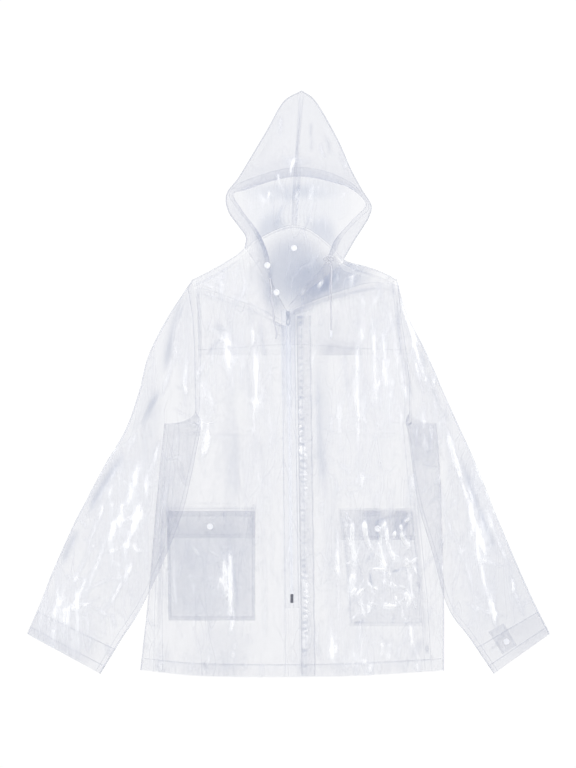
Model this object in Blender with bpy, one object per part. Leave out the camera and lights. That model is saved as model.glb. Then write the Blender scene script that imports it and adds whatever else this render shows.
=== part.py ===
"""A clear film rain jacket, laid flat on its back with its hood laid upwards.

The jacket lies front up on the plane z = 0.  +X points to the wearer's left, +Y towards the
hood and +Z out of the front.  Sizes and tables are in millimetres, and meshes are made in
metres.  Each film piece is a middle surface, thickened to a wall by its own normals.
"Right" and "left" in names are the wearer's.
"""
import math

import bmesh
import bpy
from mathutils import Matrix, Vector

MM = 0.001

# Walls and layers
WALL = 1.2              # film wall
GAP = 0.3               # space between neighbouring pieces
LAYER = WALL + GAP      # step from one layer of film to the next
FLOOR = WALL / 2        # middle surface of a wall that rests on the ground
LOFT = 8.0              # front over back at the side folds, middle to middle
CROWN = 5.0             # how much higher the front lies away from its edges
CROWN_WIDTH = 80.0      # distance from a side edge to the full crown
FLAT_SLEEVE = 3.0       # front over back of a sleeve where the body lies on it
HEM_EXTRA = 0.5         # turned hems are thicker by this
HEM_WIDTH = 24.0
CUFF_HEM = 0.12         # turned cuff, as a share of one sleeve station

# Heights along the body
HEM_Y = -520.0
HEM_CURVE_TOP = -400.0  # above this the rows are level
ARM_BOTTOM = -72.0      # underarm
ARM_ARC_TOP = -45.0     # where the armhole starts to turn out to the underarm
TUCK_START = 8.0        # the sleeve starts to slip under the body below this
TUCK_LENGTH = 35.0
TUCK_CLEAR = 30.0       # the body stays raised this far past a sleeve's inner edge
TUCK_RAMP = 35.0
CAPE_HEM_Y = 51.0       # loose lower edge of the back cape
CAPE_RAMP = 14.0
ZIP_TOP_Y = 126.0
ZIP_END_Y = -378.0

# Segments
FOLD_STEPS = 4
BACK_COLUMNS = 18
FRONT_COLUMNS = 10
SLEEVE_RINGS = 14

RIGHT = -1              # the wearer's right lies at -X
LEFT = 1
UP = Vector((0, 0, 1))


class Table:
    """Rows of named columns.  at() reads a smooth curve through a column by the first one."""

    def __init__(self, columns, *rows):
        self.columns = columns.split()
        self.rows = rows

    def column(self, name):
        place = self.columns.index(name)
        return [row[place] for row in self.rows]

    def straight(self, name, key):
        """Reads the column along straight lines between its rows."""
        keys = self.column(self.columns[0])
        values = self.column(name)
        for k in range(len(keys) - 1):
            if key <= keys[k + 1]:
                f = max(0.0, (key - keys[k]) / (keys[k + 1] - keys[k]))
                return values[k] + (values[k + 1] - values[k]) * f
        return values[-1]

    def at(self, name, key):
        keys = self.column(self.columns[0])
        values = self.column(name)
        last = len(keys) - 1
        if key <= keys[0]:
            return values[0]
        if key >= keys[last]:
            return values[last]
        i = max(k for k in range(last) if keys[k] <= key)
        span = keys[i + 1] - keys[i]
        f = (key - keys[i]) / span
        slopes = []
        for k in (i, i + 1):
            low, high = max(k - 1, 0), min(k + 1, last)
            slopes.append((values[high] - values[low]) / (keys[high] - keys[low]) * span)
        f2, f3 = f * f, f * f * f
        return ((2 * f3 - 3 * f2 + 1) * values[i] + (f3 - 2 * f2 + f) * slopes[0]
                + (3 * f2 - 2 * f3) * values[i + 1] + (f3 - f2) * slopes[1])


# Body outline and side seams, from the hem up to the underarm
BODY = Table("y left right seam_right seam_left",
             (-522.0, -267.0, 280.0, -236.0, 256.0),
             (-400.0, -254.0, 280.0, -237.0, 248.0),
             (-280.0, -243.0, 277.0, -232.0, 236.0),
             (-165.0, -233.0, 273.0, -223.0, 223.0),
             (-72.0, -223.0, 266.0, -213.0, 214.0))

HEM = Table("x y",
            (-267.0, -516.0), (-160.0, -526.5), (0.0, -528.5), (110.0, -526.5), (280.0, -517.0))

# Armhole seams, straight between these rows, and their ends at the shoulder tips
ARMHOLE = Table("y right left",
                (-72.0, -167.0, 219.0),
                (6.0, -166.0, 217.0),
                (71.0, -163.5, 209.0),
                (132.0, -164.5, 200.0),
                (188.0, -172.5, 194.5))
ARMHOLE_CORNERS = (6.0, 71.0, 132.0)
# Heights at which both the sleeves and the panels have points along the armhole
ARMHOLE_POINTS = (188.0, 160.0, 132.0, 101.5, 71.0, 38.5, 6.0, -20.0, -45.0, -72.0)

# Top outline: right shoulder, back neck, left shoulder
TOP = Table("x y",
            (-172.5, 187.0), (-127.0, 211.0), (-93.0, 232.0), (-80.0, 243.5), (-50.0, 262.0),
            (-17.0, 278.0), (10.0, 284.0), (38.0, 276.0), (70.0, 252.0), (100.0, 223.0),
            (138.0, 211.5), (168.0, 201.0), (194.5, 187.0))
NECK_RIGHT = -80.0      # where each shoulder outline meets the hood
NECK_LEFT = 100.0

# Front yoke seams, from armhole to zip
YOKE_SEAM = Table("x y",
                  (-172.0, 172.0), (-139.0, 166.0), (-105.0, 152.0), (-69.0, 138.0),
                  (-38.0, 122.0), (-1.0, 104.0), (2.0, 126.0), (38.0, 145.0), (78.0, 160.0),
                  (105.0, 169.0), (136.0, 178.0), (172.0, 181.0), (196.0, 173.0))

# Sleeves by stations from the armhole to the cuff
SLEEVE = {
    RIGHT: Table("station outer_x outer_y inner_x inner_y",
                 (0, -172.5, 188.0, -158.0, -72.0),
                 (1, -217.0, 120.0, -159.0, -82.0),
                 (2, -252.0, 51.0, -161.0, -95.0),
                 (3, -270.0, -17.0, -166.0, -120.0),
                 (4, -294.0, -84.0, -175.0, -165.0),
                 (5, -330.0, -145.0, -192.0, -235.0),
                 (6, -382.0, -244.0, -226.0, -322.0),
                 (7, -420.0, -327.0, -266.0, -405.0),
                 (8, -447.0, -395.0, -303.0, -464.0),
                 (9, -471.0, -451.0, -339.0, -523.0)),
    LEFT: Table("station outer_x outer_y inner_x inner_y",
                (0, 194.5, 188.0, 212.0, -72.0),
                (1, 213.0, 124.0, 215.0, -84.0),
                (2, 246.0, 60.0, 217.0, -100.0),
                (3, 283.0, -24.0, 221.0, -130.0),
                (4, 310.0, -84.0, 229.0, -190.0),
                (5, 337.5, -145.0, 240.0, -240.0),
                (6, 377.0, -244.0, 261.0, -310.0),
                (7, 412.0, -327.0, 287.0, -402.0),
                (8, 443.0, -396.0, 328.0, -461.0),
                (9, 471.0, -451.0, 370.0, -523.0))}
CUFF_STATION = 9.0
INNER_EDGE = {side: Table("y x", *reversed([(row[4], row[3]) for row in SLEEVE[side].rows]))
              for side in (RIGHT, LEFT)}

# Hood halves by stations from the neck seam to the top: the front edge, the fold at the
# outline, and where the piece ends on the back's centre seam
HOOD = {
    RIGHT: Table("station edge_x edge_y fold_x fold_y back_y",
                 (0, -1.5, 127.2, -79.3, 243.9, 284.5),
                 (1, -28.0, 180.0, -77.0, 264.0, 300.0),
                 (2, -36.0, 230.0, -91.0, 285.0, 316.0),
                 (3, -54.0, 272.0, -107.0, 307.0, 334.0),
                 (4, -82.0, 310.0, -113.0, 329.0, 352.0),
                 (5, -98.0, 340.0, -109.0, 347.0, 370.0),
                 (6, -76.0, 348.0, -91.0, 370.0, 390.0),
                 (7, -44.0, 359.0, -66.0, 411.0, 412.0),
                 (8, -18.0, 366.0, -38.0, 458.0, 432.0),
                 (9, 2.0, 370.0, -9.0, 508.0, 452.0),
                 (10, 11.5, 371.0, 24.0, 528.0, 470.0)),
    LEFT: Table("station edge_x edge_y fold_x fold_y back_y",
                (0, -0.6, 139.0, 99.3, 223.4, 284.5),
                (1, 31.0, 177.0, 110.0, 242.0, 300.0),
                (2, 64.0, 214.0, 121.0, 261.0, 316.0),
                (3, 83.0, 258.0, 134.0, 281.0, 334.0),
                (4, 112.0, 292.0, 146.0, 302.0, 352.0),
                (5, 138.0, 323.0, 149.0, 322.0, 370.0),
                (6, 112.0, 350.0, 132.0, 350.0, 390.0),
                (7, 82.0, 360.0, 113.0, 385.0, 412.0),
                (8, 54.0, 367.0, 88.0, 441.0, 432.0),
                (9, 28.0, 371.0, 50.0, 507.0, 452.0),
                (10, 11.5, 371.0, 24.0, 528.0, 470.0))}
HOOD_TOP = 10.0
HOOD_STEPS = 13
HOOD_TOP_STEPS = 5      # columns on the upper layer
HOOD_SIDE_STEPS = 4     # columns on the back layer beside the gathers
PLEATS = 3              # gathers in each half of the hood's back
PLEAT_WIDTH = 15.0
PLEAT_HEIGHT = 3.2
BRIM_LIFT = 14.0
BACK_SEAM = Table("y x", (284.0, 10.0), (528.0, 24.0))

# Largest folds of the fronts: soft troughs (negative) and ridges
FRONT_FOLD = Table("name top_x top_y bottom_x bottom_y half_width height",
                   ("right_trough", -96.0, 60.0, -112.0, -470.0, 30.0, -3.0),
                   ("right_ridge", -150.0, 20.0, -140.0, -190.0, 22.0, 3.0),
                   ("right_inner_ridge", -48.0, 90.0, -62.0, -300.0, 24.0, 2.0),
                   ("left_trough", 58.0, 70.0, 88.0, -470.0, 30.0, -3.2),
                   ("left_ridge", 112.0, 120.0, 124.0, -200.0, 24.0, 3.0),
                   ("left_outer_ridge", 168.0, 90.0, 178.0, -180.0, 22.0, 2.5))
FOLD_END = 60.0         # length over which a fold fades out

# Lengthwise folds of the sleeves: place across the sleeve, half width (both as shares of the
# sleeve's width) and height
SLEEVE_FOLD = {RIGHT: Table("across half_width height", (0.30, 0.16, -2.6), (0.62, 0.18, 2.4)),
               LEFT: Table("across half_width height", (0.34, 0.15, 3.2), (0.66, 0.16, -2.4))}

# Front closure
TAPE_HALF = 13.5        # the two tapes meet under the chain
CHAIN_HALF = 2.6
CHAIN_HEIGHT = 2.0
FLAP_OFFSETS = (15.0, 23.5, 41.0)       # its edges and the puckered line between them
PUCKERS = 22
PUCKER_HEIGHT = 1.0

# Pockets: corners in x by height
POCKET = {
    RIGHT: Table("y left right", (-426.0, -216.0, -60.0), (-229.0, -219.0, -60.0)),
    LEFT: Table("y left right", (-436.0, 110.0, 241.0), (-330.0, 103.0, 234.0),
                (-229.0, 91.0, 224.0))}
POCKET_FLAP = {
    RIGHT: Table("y left right", (-277.0, -218.0, -60.0), (-221.0, -220.0, -58.0)),
    LEFT: Table("y left right", (-281.0, 93.0, 227.0), (-224.0, 89.0, 223.0))}
POCKET_BULGE = 2.2
PATCH_EXTRA = 0.2       # added to each layer that lies on a front's facets
PATCH_REACH = 8.0
SEAT = WALL / 2 + GAP + 0.2     # from a middle surface up to a piece that sits on it


def smooth(value):
    """0 to 1 with level ends."""
    value = min(max(value, 0.0), 1.0)
    return value * value * (3 - 2 * value)


def mix(a, b, f):
    return a + (b - a) * f


# Surfaces

def armhole(side, y):
    return ARMHOLE.straight("right" if side == RIGHT else "left", y)


def body_edge(side, y):
    return BODY.at("left" if side == RIGHT else "right", y)


def side_seam(side, y):
    return BODY.at("seam_right" if side == RIGHT else "seam_left", y)


def boundary(side, y, lower):
    """Side of a body piece: its lower boundary, then the arc to the armhole seam."""
    if y <= ARM_BOTTOM:
        return lower(side, y)
    if y >= ARM_ARC_TOP:
        return armhole(side, y)
    q = (ARM_ARC_TOP - y) / (ARM_ARC_TOP - ARM_BOTTOM)
    top, bottom = armhole(side, ARM_ARC_TOP), lower(side, ARM_BOTTOM)
    return mix(top, bottom, 1 - math.sqrt(1 - q * q))


def fold_tangent(side, y):
    """Where the flat back ends and its side fold begins."""
    return body_edge(side, y) - side * LOFT / 2


def back_side(side, y):
    return boundary(side, y, fold_tangent)


def tuck(y):
    """0 at the armholes, 1 where the sleeves lie under the body."""
    return smooth((TUCK_START - y) / TUCK_LENGTH)


def lift(x, y):
    """How far the sleeves under its sides raise the body."""
    total = 0.0
    for side in (RIGHT, LEFT):
        past = side * (x - INNER_EDGE[side].at("x", y)) + TUCK_CLEAR + TUCK_RAMP
        total += smooth(past / TUCK_RAMP)
    return tuck(y) * total * (FLAT_SLEEVE + LAYER)


def back_height(x, y):
    over_cape = smooth((y - CAPE_HEM_Y + CAPE_RAMP) / (CAPE_RAMP - 2.0))
    return FLOOR + lift(x, y) + LAYER * over_cape


def fold_height(x, y):
    total = 0.0
    for _, top_x, top_y, bottom_x, bottom_y, half_width, height in FRONT_FOLD.rows:
        f = (top_y - y) / (top_y - bottom_y)
        across = abs(x - mix(top_x, bottom_x, f)) / half_width
        ends = smooth((top_y - y) / FOLD_END) * smooth((y - bottom_y) / FOLD_END)
        total += height * smooth(1 - across) * ends
    return total


def front_height(x, y):
    """Middle surface of the fronts and yokes."""
    inset = min(x - back_side(RIGHT, y), back_side(LEFT, y) - x)
    crown = smooth(inset / CROWN_WIDTH) * smooth((TOP.at("y", x) - y - LOFT / 2) / 70.0)
    return FLOOR + LOFT + lift(x, y) + CROWN * crown + fold_height(x, y)


def zip_x(y):
    """The zip's middle line, which leans a little."""
    return mix(6.0, -1.0, (y - ZIP_END_Y) / (ZIP_TOP_Y - ZIP_END_Y))


def hem_y(x, y):
    """Bends the level rows near the hem to the hem's curve."""
    return y + (HEM.at("y", x) - HEM_Y) * smooth((HEM_CURVE_TOP - y) / (HEM_CURVE_TOP - HEM_Y))


# Meshes

def material(name, colour, roughness, metallic=0.0, alpha=1.0):
    made = bpy.data.materials.new(name)
    made.use_nodes = True
    shader = made.node_tree.nodes["Principled BSDF"]
    shader.inputs["Base Color"].default_value = (*colour, 1.0)
    shader.inputs["Roughness"].default_value = roughness
    shader.inputs["Metallic"].default_value = metallic
    shader.inputs["Alpha"].default_value = alpha
    return made


def add_object(name, bm, finish):
    """Writes a bmesh in millimetres as a closed object in metres, faces pointing out."""
    bmesh.ops.scale(bm, vec=(MM, MM, MM), verts=bm.verts)
    if bm.calc_volume(signed=True) < 0:
        bmesh.ops.reverse_faces(bm, faces=bm.faces)
    mesh = bpy.data.meshes.new(name)
    bm.to_mesh(mesh)
    bm.free()
    mesh.shade_smooth()
    mesh.set_sharp_from_angle(angle=math.radians(50))
    mesh.materials.append(finish)
    made = bpy.data.objects.new(name, mesh)
    bpy.context.collection.objects.link(made)
    return made


def film(name, rows, finish, closed=False, extra=None, seam=None):
    """Thickens rows of middle points to a wall.  A point may be None where there is no cloth.

    extra(i, j) adds thickness to upper faces.  seam(i, j) is the direction across a seam, which
    the wall's cut edge faces squarely, or UP at a corner, or None.
    """
    columns = len(rows[0])
    quads = []
    for i in range(len(rows) - 1):
        for j in range(columns if closed else columns - 1):
            k = (j + 1) % columns
            corners = ((i, j), (i, k), (i + 1, k), (i + 1, j))
            if all(rows[a][b] is not None for a, b in corners):
                quads.append(corners)
    normals = {}
    for quad in quads:
        a, b, c, d = (rows[i][j] for i, j in quad)
        normal = (c - a).cross(d - b)
        for key in quad:
            normals[key] = normals.get(key, Vector()) + normal
    up = sum(normal.z * rows[i][j].z for (i, j), normal in normals.items())
    outward = 1 if up >= 0 or not closed else -1

    bm = bmesh.new()
    outer, inner = {}, {}
    for key, normal in normals.items():
        direction = seam(*key) if seam else None
        if direction is UP:
            normal = UP * normal.z
        elif direction is not None:
            normal = normal - direction * normal.dot(direction)
        normal = normal.normalized() * outward
        more = extra(*key) if extra and abs(normal.z) > 0.5 else 0.0
        point = rows[key[0]][key[1]]
        raised = WALL / 2 + (more if normal.z > 0 else 0.0)
        lowered = WALL / 2 + (more if normal.z < 0 and not closed else 0.0)
        outer[key] = bm.verts.new(point + normal * raised)
        inner[key] = bm.verts.new(point - normal * lowered)
    edges = {}
    for quad in quads:
        bm.faces.new([outer[key] for key in quad])
        bm.faces.new([inner[key] for key in reversed(quad)])
        for a, b in zip(quad, quad[1:] + quad[:1]):
            edges[(a, b)] = True
    for a, b in edges:
        if (b, a) not in edges:
            bm.faces.new([outer[b], outer[a], inner[a], inner[b]])
    return add_object(name, bm, finish)


def fold_arc(start, direction, radius, steps):
    """Points of a half circle that turns the upper layer down to the lower one."""
    centre = start - Vector((0, 0, radius))
    points = []
    for k in range(1, steps):
        angle = math.pi * k / steps
        points.append(centre + direction * radius * math.sin(angle)
                      + Vector((0, 0, radius * math.cos(angle))))
    return points


# Body

def level_rows():
    """Heights of the level rows, from the hem to the second corner of the armholes."""
    rows = [HEM_Y, HEM_Y + HEM_WIDTH]
    steps = 8
    for k in range(1, steps):
        rows.append(mix(HEM_Y + HEM_WIDTH, ARM_BOTTOM, k / steps))
    for k in range(4):
        rows.append(ARM_ARC_TOP - (ARM_ARC_TOP - ARM_BOTTOM) * math.cos(math.pi / 2 * k / 3))
    return rows + [-20.0, 6.0]


def rising_shares(low, high, shares):
    """Shares of the way from a level row up to a top edge, with one at each armhole corner."""
    corners = [(corner - low) / (high - low) for corner in ARMHOLE_CORNERS if corner > low + 1]
    return sorted(corners + list(shares))


def back_row(y, top=None, f=0.0):
    """One row of the back, between its side boundaries; f moves it towards the top outline."""
    points = []
    for k in range(BACK_COLUMNS + 1):
        u = k / BACK_COLUMNS
        row_y = y
        for _ in range(5):
            x = mix(back_side(RIGHT, row_y) + GAP / 2, back_side(LEFT, row_y) - GAP / 2, u)
            row_y = y if top is None else mix(y, top(x), f)
        row_y = hem_y(x, row_y)
        points.append(Vector((x, row_y, back_height(x, row_y))))
    return points


def wrap_points(side, y, columns):
    """The side fold and the strip on the front as far as the side seam, from the seam out."""
    points = []
    seam = side_seam(side, y) + side * GAP / 2
    tangent = fold_tangent(side, y)
    for k in range(columns):
        x = mix(seam, tangent, k / (columns - 1))
        row_y = hem_y(x, y)
        points.append(Vector((x, row_y, front_height(x, row_y))))
    points += fold_arc(points[-1], Vector((side, 0, 0)), LOFT / 2, FOLD_STEPS)
    return points


def top_margin(x, shoulder, neck):
    """Distance from the top outline: one value at the shoulders, another at the neck."""
    at_neck = smooth((x - NECK_RIGHT) / 26.0) * smooth((NECK_LEFT - x) / 26.0)
    return mix(shoulder, neck, at_neck)


def shoulder_outward(x):
    """Direction across the shoulder's fold, out of the outline."""
    if NECK_RIGHT - 12.0 < x < NECK_LEFT + 12.0:
        x = NECK_RIGHT - 12.0 if x < 0 else NECK_LEFT + 12.0
    step = TOP.at("y", x + 6.0) - TOP.at("y", x - 6.0)
    return Vector((-step, 12.0, 0)).normalized()


def neck_x(side):
    return NECK_RIGHT if side == RIGHT else NECK_LEFT


def across_neck(side):
    """Direction across the front neck seam, in plan."""
    outline = Vector((neck_x(side), TOP.at("y", neck_x(side)), 0))
    run = outline - Vector((zip_x(ZIP_TOP_Y), ZIP_TOP_Y, 0))
    return run.cross(UP).normalized()


def build_back(finish):
    wraps = {RIGHT: 2, LEFT: 4}
    rows = []
    for y in level_rows():
        middle = back_row(y)
        if y <= ARM_BOTTOM:
            right = wrap_points(RIGHT, y, wraps[RIGHT])
            left = wrap_points(LEFT, y, wraps[LEFT])[::-1]
            middle[0].x -= GAP / 2
            middle[-1].x += GAP / 2
        else:
            right = [None] * (wraps[RIGHT] + FOLD_STEPS - 1)
            left = [None] * (wraps[LEFT] + FOLD_STEPS - 1)
        rows.append(right + middle + left)
    empty_right = [None] * (wraps[RIGHT] + FOLD_STEPS - 1)
    empty_left = [None] * (wraps[LEFT] + FOLD_STEPS - 1)

    def top(x):
        return TOP.at("y", x) - top_margin(x, LOFT / 2 + 6.0, GAP)

    for y in (CAPE_HEM_Y - CAPE_RAMP, CAPE_HEM_Y - 2.0, 71.0):
        rows.append(empty_right + back_row(y) + empty_left)
    for f in rising_shares(71.0, top(armhole(RIGHT, 180.0)), (0.28, 0.78, 1.0)):
        rows.append(empty_right + back_row(71.0, top, f) + empty_left)

    last = len(rows[0]) - 1
    middle_start, middle_end = len(empty_right), last - len(empty_left)

    def seam(i, j):
        at_side = j in (0, last) or i > 11 and j in (middle_start, middle_end)
        return Vector((1, 0, 0)) if at_side else None

    film("back_panel", rows, finish, seam=seam, extra=lambda i, j: HEM_EXTRA if i <= 1 else 0.0)


def build_cape(finish):
    """The loose outer layer of the upper back, under the back as the jacket lies."""
    rows = []

    def top(x):
        return TOP.at("y", x) - top_margin(x, LOFT / 2 + 15.0, GAP)

    for f in rising_shares(CAPE_HEM_Y, top(armhole(RIGHT, 170.0)), (0.0, 0.4, 0.84, 1.0)):
        row = back_row(CAPE_HEM_Y, top, f)
        for point in row:
            point.z = FLOOR
        rows.append(row)
    film("back_cape", rows, finish)


def front_x(side, y, u):
    """x on a front from its side boundary (u = 0) to the zip's middle line (u = 1)."""
    outer = boundary(side, y, side_seam) - side * GAP / 2
    return mix(outer, zip_x(y) + side * GAP / 2, u)


def front_rows(side):
    """Middle points of a front.  What lies on the front is made from them too."""
    rows = []
    for y in level_rows() + [38.5, 71.0]:
        row = []
        for k in range(FRONT_COLUMNS + 1):
            x = front_x(side, y, k / FRONT_COLUMNS)
            row_y = hem_y(x, y)
            row.append(Vector((x, row_y, front_height(x, row_y))))
        rows.append(row)
    side_top = YOKE_SEAM.at("y", front_x(side, 150.0, 0.0))
    for f in rising_shares(71.0, side_top, (0.3, 1.0)):
        row = []
        for k in range(FRONT_COLUMNS + 1):
            u = k / FRONT_COLUMNS
            high = YOKE_SEAM.at("y", front_x(side, 150.0, u)) - GAP
            y = mix(71.0, high, f)
            x = front_x(side, y, u)
            row.append(Vector((x, y, front_height(x, y))))
        rows.append(row)
    return rows


FRONT_ROWS = {side: front_rows(side) for side in (RIGHT, LEFT)}


def on_front(side, x, y):
    """Height of the front's middle surface as it is meshed."""
    u = (x - front_x(side, y, 0.0)) / (front_x(side, y, 1.0) - front_x(side, y, 0.0))
    place = min(max(u, 0.0), 1.0) * FRONT_COLUMNS
    k = min(int(place), FRONT_COLUMNS - 1)
    line = [row[k].lerp(row[k + 1], place - k) for row in FRONT_ROWS[side]]
    for low, high in zip(line, line[1:]):
        if y <= high.y:
            f = (y - low.y) / (high.y - low.y)
            return mix(low.z, high.z, max(0.0, f))
    return front_height(x, y)


def over_front(side, x, y, reach):
    """Greatest height of the front's middle surface within reach of a point."""
    return max(on_front(side, x + a * reach, y + b * reach) for a in (-1, 0, 1) for b in (-1, 0, 1))


def build_front(side, name, finish):
    last = len(FRONT_ROWS[side]) - 1

    def seam(i, j):
        if i == last:
            return UP if j in (0, FRONT_COLUMNS) else Vector((0, 1, 0))
        return Vector((1, 0, 0)) if j in (0, FRONT_COLUMNS) else None

    film(name, FRONT_ROWS[side], finish, seam=seam,
         extra=lambda i, j: HEM_EXTRA if i <= 1 else 0.0)


def build_yoke(side, name, finish):
    """From the yoke seam up over the shoulder fold and a little way down the back."""
    columns = FRONT_COLUMNS
    rise = 4
    tip_x = armhole(side, 188.0) - side * GAP / 2
    zip_end = Vector((zip_x(ZIP_TOP_Y) + side * GAP / 2, ZIP_TOP_Y if side == RIGHT else 138.0))
    rows = []
    for k in range(columns + 1):
        u = k / columns
        outline_x = mix(tip_x, neck_x(side), u)
        outline = Vector((outline_x, TOP.at("y", outline_x), 0))
        outward = shoulder_outward(outline_x)
        tangent = outline - outward * LOFT / 2
        seam_x = front_x(side, 150.0, u)
        seam_y = YOKE_SEAM.at("y", seam_x) + GAP
        seam_x = front_x(side, seam_y, u)
        row = []
        for v in range(rise + 1):
            f = v / rise
            x, y = mix(seam_x, tangent.x, f), mix(seam_y, tangent.y, f)
            if u == 1.0:
                if v == 0:
                    x, y = seam_x, seam_y
                else:
                    g = (v - 1) / (rise - 1)
                    x, y = mix(zip_end.x, tangent.x, g), mix(zip_end.y, tangent.y, g)
            row.append(Vector((x, y, front_height(x, y))))
        row[-1].z = FLOOR + LOFT
        row += fold_arc(row[-1], outward, LOFT / 2, FOLD_STEPS)
        for reach in (0.0, mix(9.5, 3.0, smooth((u - 0.6) / 0.4))):
            under = tangent - outward * reach
            row.append(Vector((under.x, under.y, FLOOR)))
        rows.append(row)

    def seam(i, j):
        if j == 0:
            return UP if i in (0, columns) else Vector((0, 1, 0))
        if i == 0:
            return Vector((1, 0, 0))
        if i == columns:
            return across_neck(side) if j <= rise else shoulder_outward(neck_x(side)).cross(UP)
        return None

    film(name, rows, finish, seam=seam)


# Sleeves

def sleeve_plan(side, station, w):
    """Plan point across a sleeve, from its outer edge (w = 0) to its inner edge (w = 1)."""
    table = SLEEVE[side]
    outer = Vector((table.at("outer_x", station), table.at("outer_y", station), 0))
    inner = Vector((table.at("inner_x", station), table.at("inner_y", station), 0))
    point = outer.lerp(inner, w)
    first_y = mix(ARMHOLE_POINTS[0], ARMHOLE_POINTS[-1], w)
    straight = mix(table.at("outer_x", 0), table.at("inner_x", 0), w)
    bend = armhole(side, first_y) + side * GAP / 2 - straight
    above = smooth((first_y - ARM_ARC_TOP) / 20.0 + 1.0)
    point.x += bend * above * max(0.0, 1 - station / 2) ** 2
    if point.y > ARM_BOTTOM:
        beside = armhole(side, point.y) + side * (GAP / 2 + 3.0 * min(station, 1.0))
        point.x = side * max(side * point.x, mix(side * point.x, side * beside, above))
    return point


def sleeve_height(side, x, y, station, w):
    """Front wall of a sleeve over its back wall, middle to middle."""
    covered = side * (body_edge(side, y) + side * 34.0 - x) / 28.0
    flat = smooth(covered) * tuck(y)
    folds = 0.0
    for across, half_width, height in SLEEVE_FOLD[side].rows:
        folds += height * smooth(1 - abs(w - across) / half_width)
    along = smooth(station / 1.5) * smooth((CUFF_STATION - station) / 1.5)
    return mix(LOFT + folds * along, FLAT_SLEEVE, flat)


def sleeve_front(side, station, w):
    """A point of the sleeve's front wall."""
    plan = sleeve_plan(side, station, w)
    return Vector((plan.x, plan.y, FLOOR + sleeve_height(side, plan.x, plan.y, station, w)))


def sleeve_ring(side, station):
    """One ring: front wall from outer to inner edge, inner fold, back wall, outer fold."""
    spans = [(ARMHOLE_POINTS[0] - y) / (ARMHOLE_POINTS[0] - ARMHOLE_POINTS[-1])
             for y in ARMHOLE_POINTS]
    front = [sleeve_front(side, station, w) for w in spans]
    across = (front[-1] - front[-2]).to_2d().normalized().to_3d()
    back_across = (front[0] - front[1]).to_2d().normalized().to_3d()
    radii = [(front[end].z - FLOOR) / 2 for end in (0, -1)]
    front[0] -= back_across * radii[0]
    front[-1] -= across * radii[1]
    back = [Vector((point.x, point.y, FLOOR)) for point in reversed(front)]
    ring = list(front)
    ring += fold_arc(front[-1], across, radii[1], FOLD_STEPS)
    ring += back
    ring += fold_arc(front[0], back_across, radii[0], FOLD_STEPS)[::-1]
    return ring


def build_sleeve(side, name, finish):
    stations = [CUFF_STATION * k / SLEEVE_RINGS for k in range(SLEEVE_RINGS)]
    stations += [CUFF_STATION - 2 * CUFF_HEM, CUFF_STATION]
    rows = [sleeve_ring(side, station) for station in stations]
    last = len(rows) - 1

    def seam(i, j):
        return Vector((1, 0, 0)) if i == 0 else None

    film(name, rows, finish, closed=True, seam=seam,
         extra=lambda i, j: HEM_EXTRA if i >= last - 1 else 0.0)


# Hood

def hood_top(side, station, v):
    """A point of the hood's upper layer, from the front edge (v = 0) to the outline fold."""
    table = HOOD[side]
    edge = Vector((table.at("edge_x", station), table.at("edge_y", station), 0))
    fold = Vector((table.at("fold_x", station), table.at("fold_y", station), 0))
    inset = fold - hood_outward(side, station) * LOFT / 2
    point = edge.lerp(inset, v)
    throat = CROWN * (1 - smooth(station / 4.0)) * (1 - v) ** 2
    brim = BRIM_LIFT * smooth((station - 4.5) / 3.5) * (1 - v ** 1.6)
    point.z = FLOOR + LOFT + throat + brim
    return point


def hood_outward(side, station):
    """Outward direction of the hood's outline fold."""
    if station >= HOOD_TOP:
        return Vector((0, 1, 0))
    if station == 0.0:
        return shoulder_outward(neck_x(side))
    table = HOOD[side]
    low, high = max(station - 0.3, 0.0), min(station + 0.3, HOOD_TOP)
    run = Vector((table.at("fold_x", high) - table.at("fold_x", low),
                  table.at("fold_y", high) - table.at("fold_y", low), 0))
    return Vector((side * run.y, -side * run.x, 0)).normalized()


def hood_row(side, station):
    table = HOOD[side]
    row = [hood_top(side, station, k / HOOD_TOP_STEPS) for k in range(HOOD_TOP_STEPS + 1)]
    outward = hood_outward(side, station)
    row[-1].z = FLOOR + LOFT
    row += fold_arc(row[-1], outward, LOFT / 2, FOLD_STEPS)
    start = Vector((row[HOOD_TOP_STEPS].x, row[HOOD_TOP_STEPS].y, FLOOR))
    back_y = table.at("back_y", station)
    end = Vector((BACK_SEAM.at("x", back_y) + side * GAP / 2, back_y, FLOOR))
    length = (end - start).length
    gathered = min(PLEATS * PLEAT_WIDTH, length * 0.6)
    shares = [mix(0.0, 1 - gathered / length, k / HOOD_SIDE_STEPS)
              for k in range(HOOD_SIDE_STEPS + 1)]
    shares += [mix(1 - gathered / length, 1.0, k / (2 * PLEATS)) for k in range(1, 2 * PLEATS + 1)]
    near_neck = (1 - station / HOOD_TOP) ** 2
    height = PLEAT_HEIGHT * smooth(station / 0.7) * smooth((7.0 - station) / 3.0)
    neck_start = hood_top(side, 0.0, 1.0)
    neck_end_x = BACK_SEAM.at("x", table.at("back_y", 0)) + side * GAP / 2
    for k, share in enumerate(shares):
        point = start.lerp(end, share)
        seam_x = mix(neck_start.x, neck_end_x, share)
        straight = mix(neck_start.y, table.at("back_y", 0), share)
        arch = (TOP.at("y", seam_x) + 3 * GAP - straight) * smooth(share * 6)
        point.y += arch * near_neck
        is_pleat = k > HOOD_SIDE_STEPS and (k - HOOD_SIDE_STEPS) % 2 == 1
        point.z += height if is_pleat else 0.0
        row.append(point)
    if station >= HOOD_TOP:
        for point in row:
            point.x += side * GAP / 2
    return row


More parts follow.
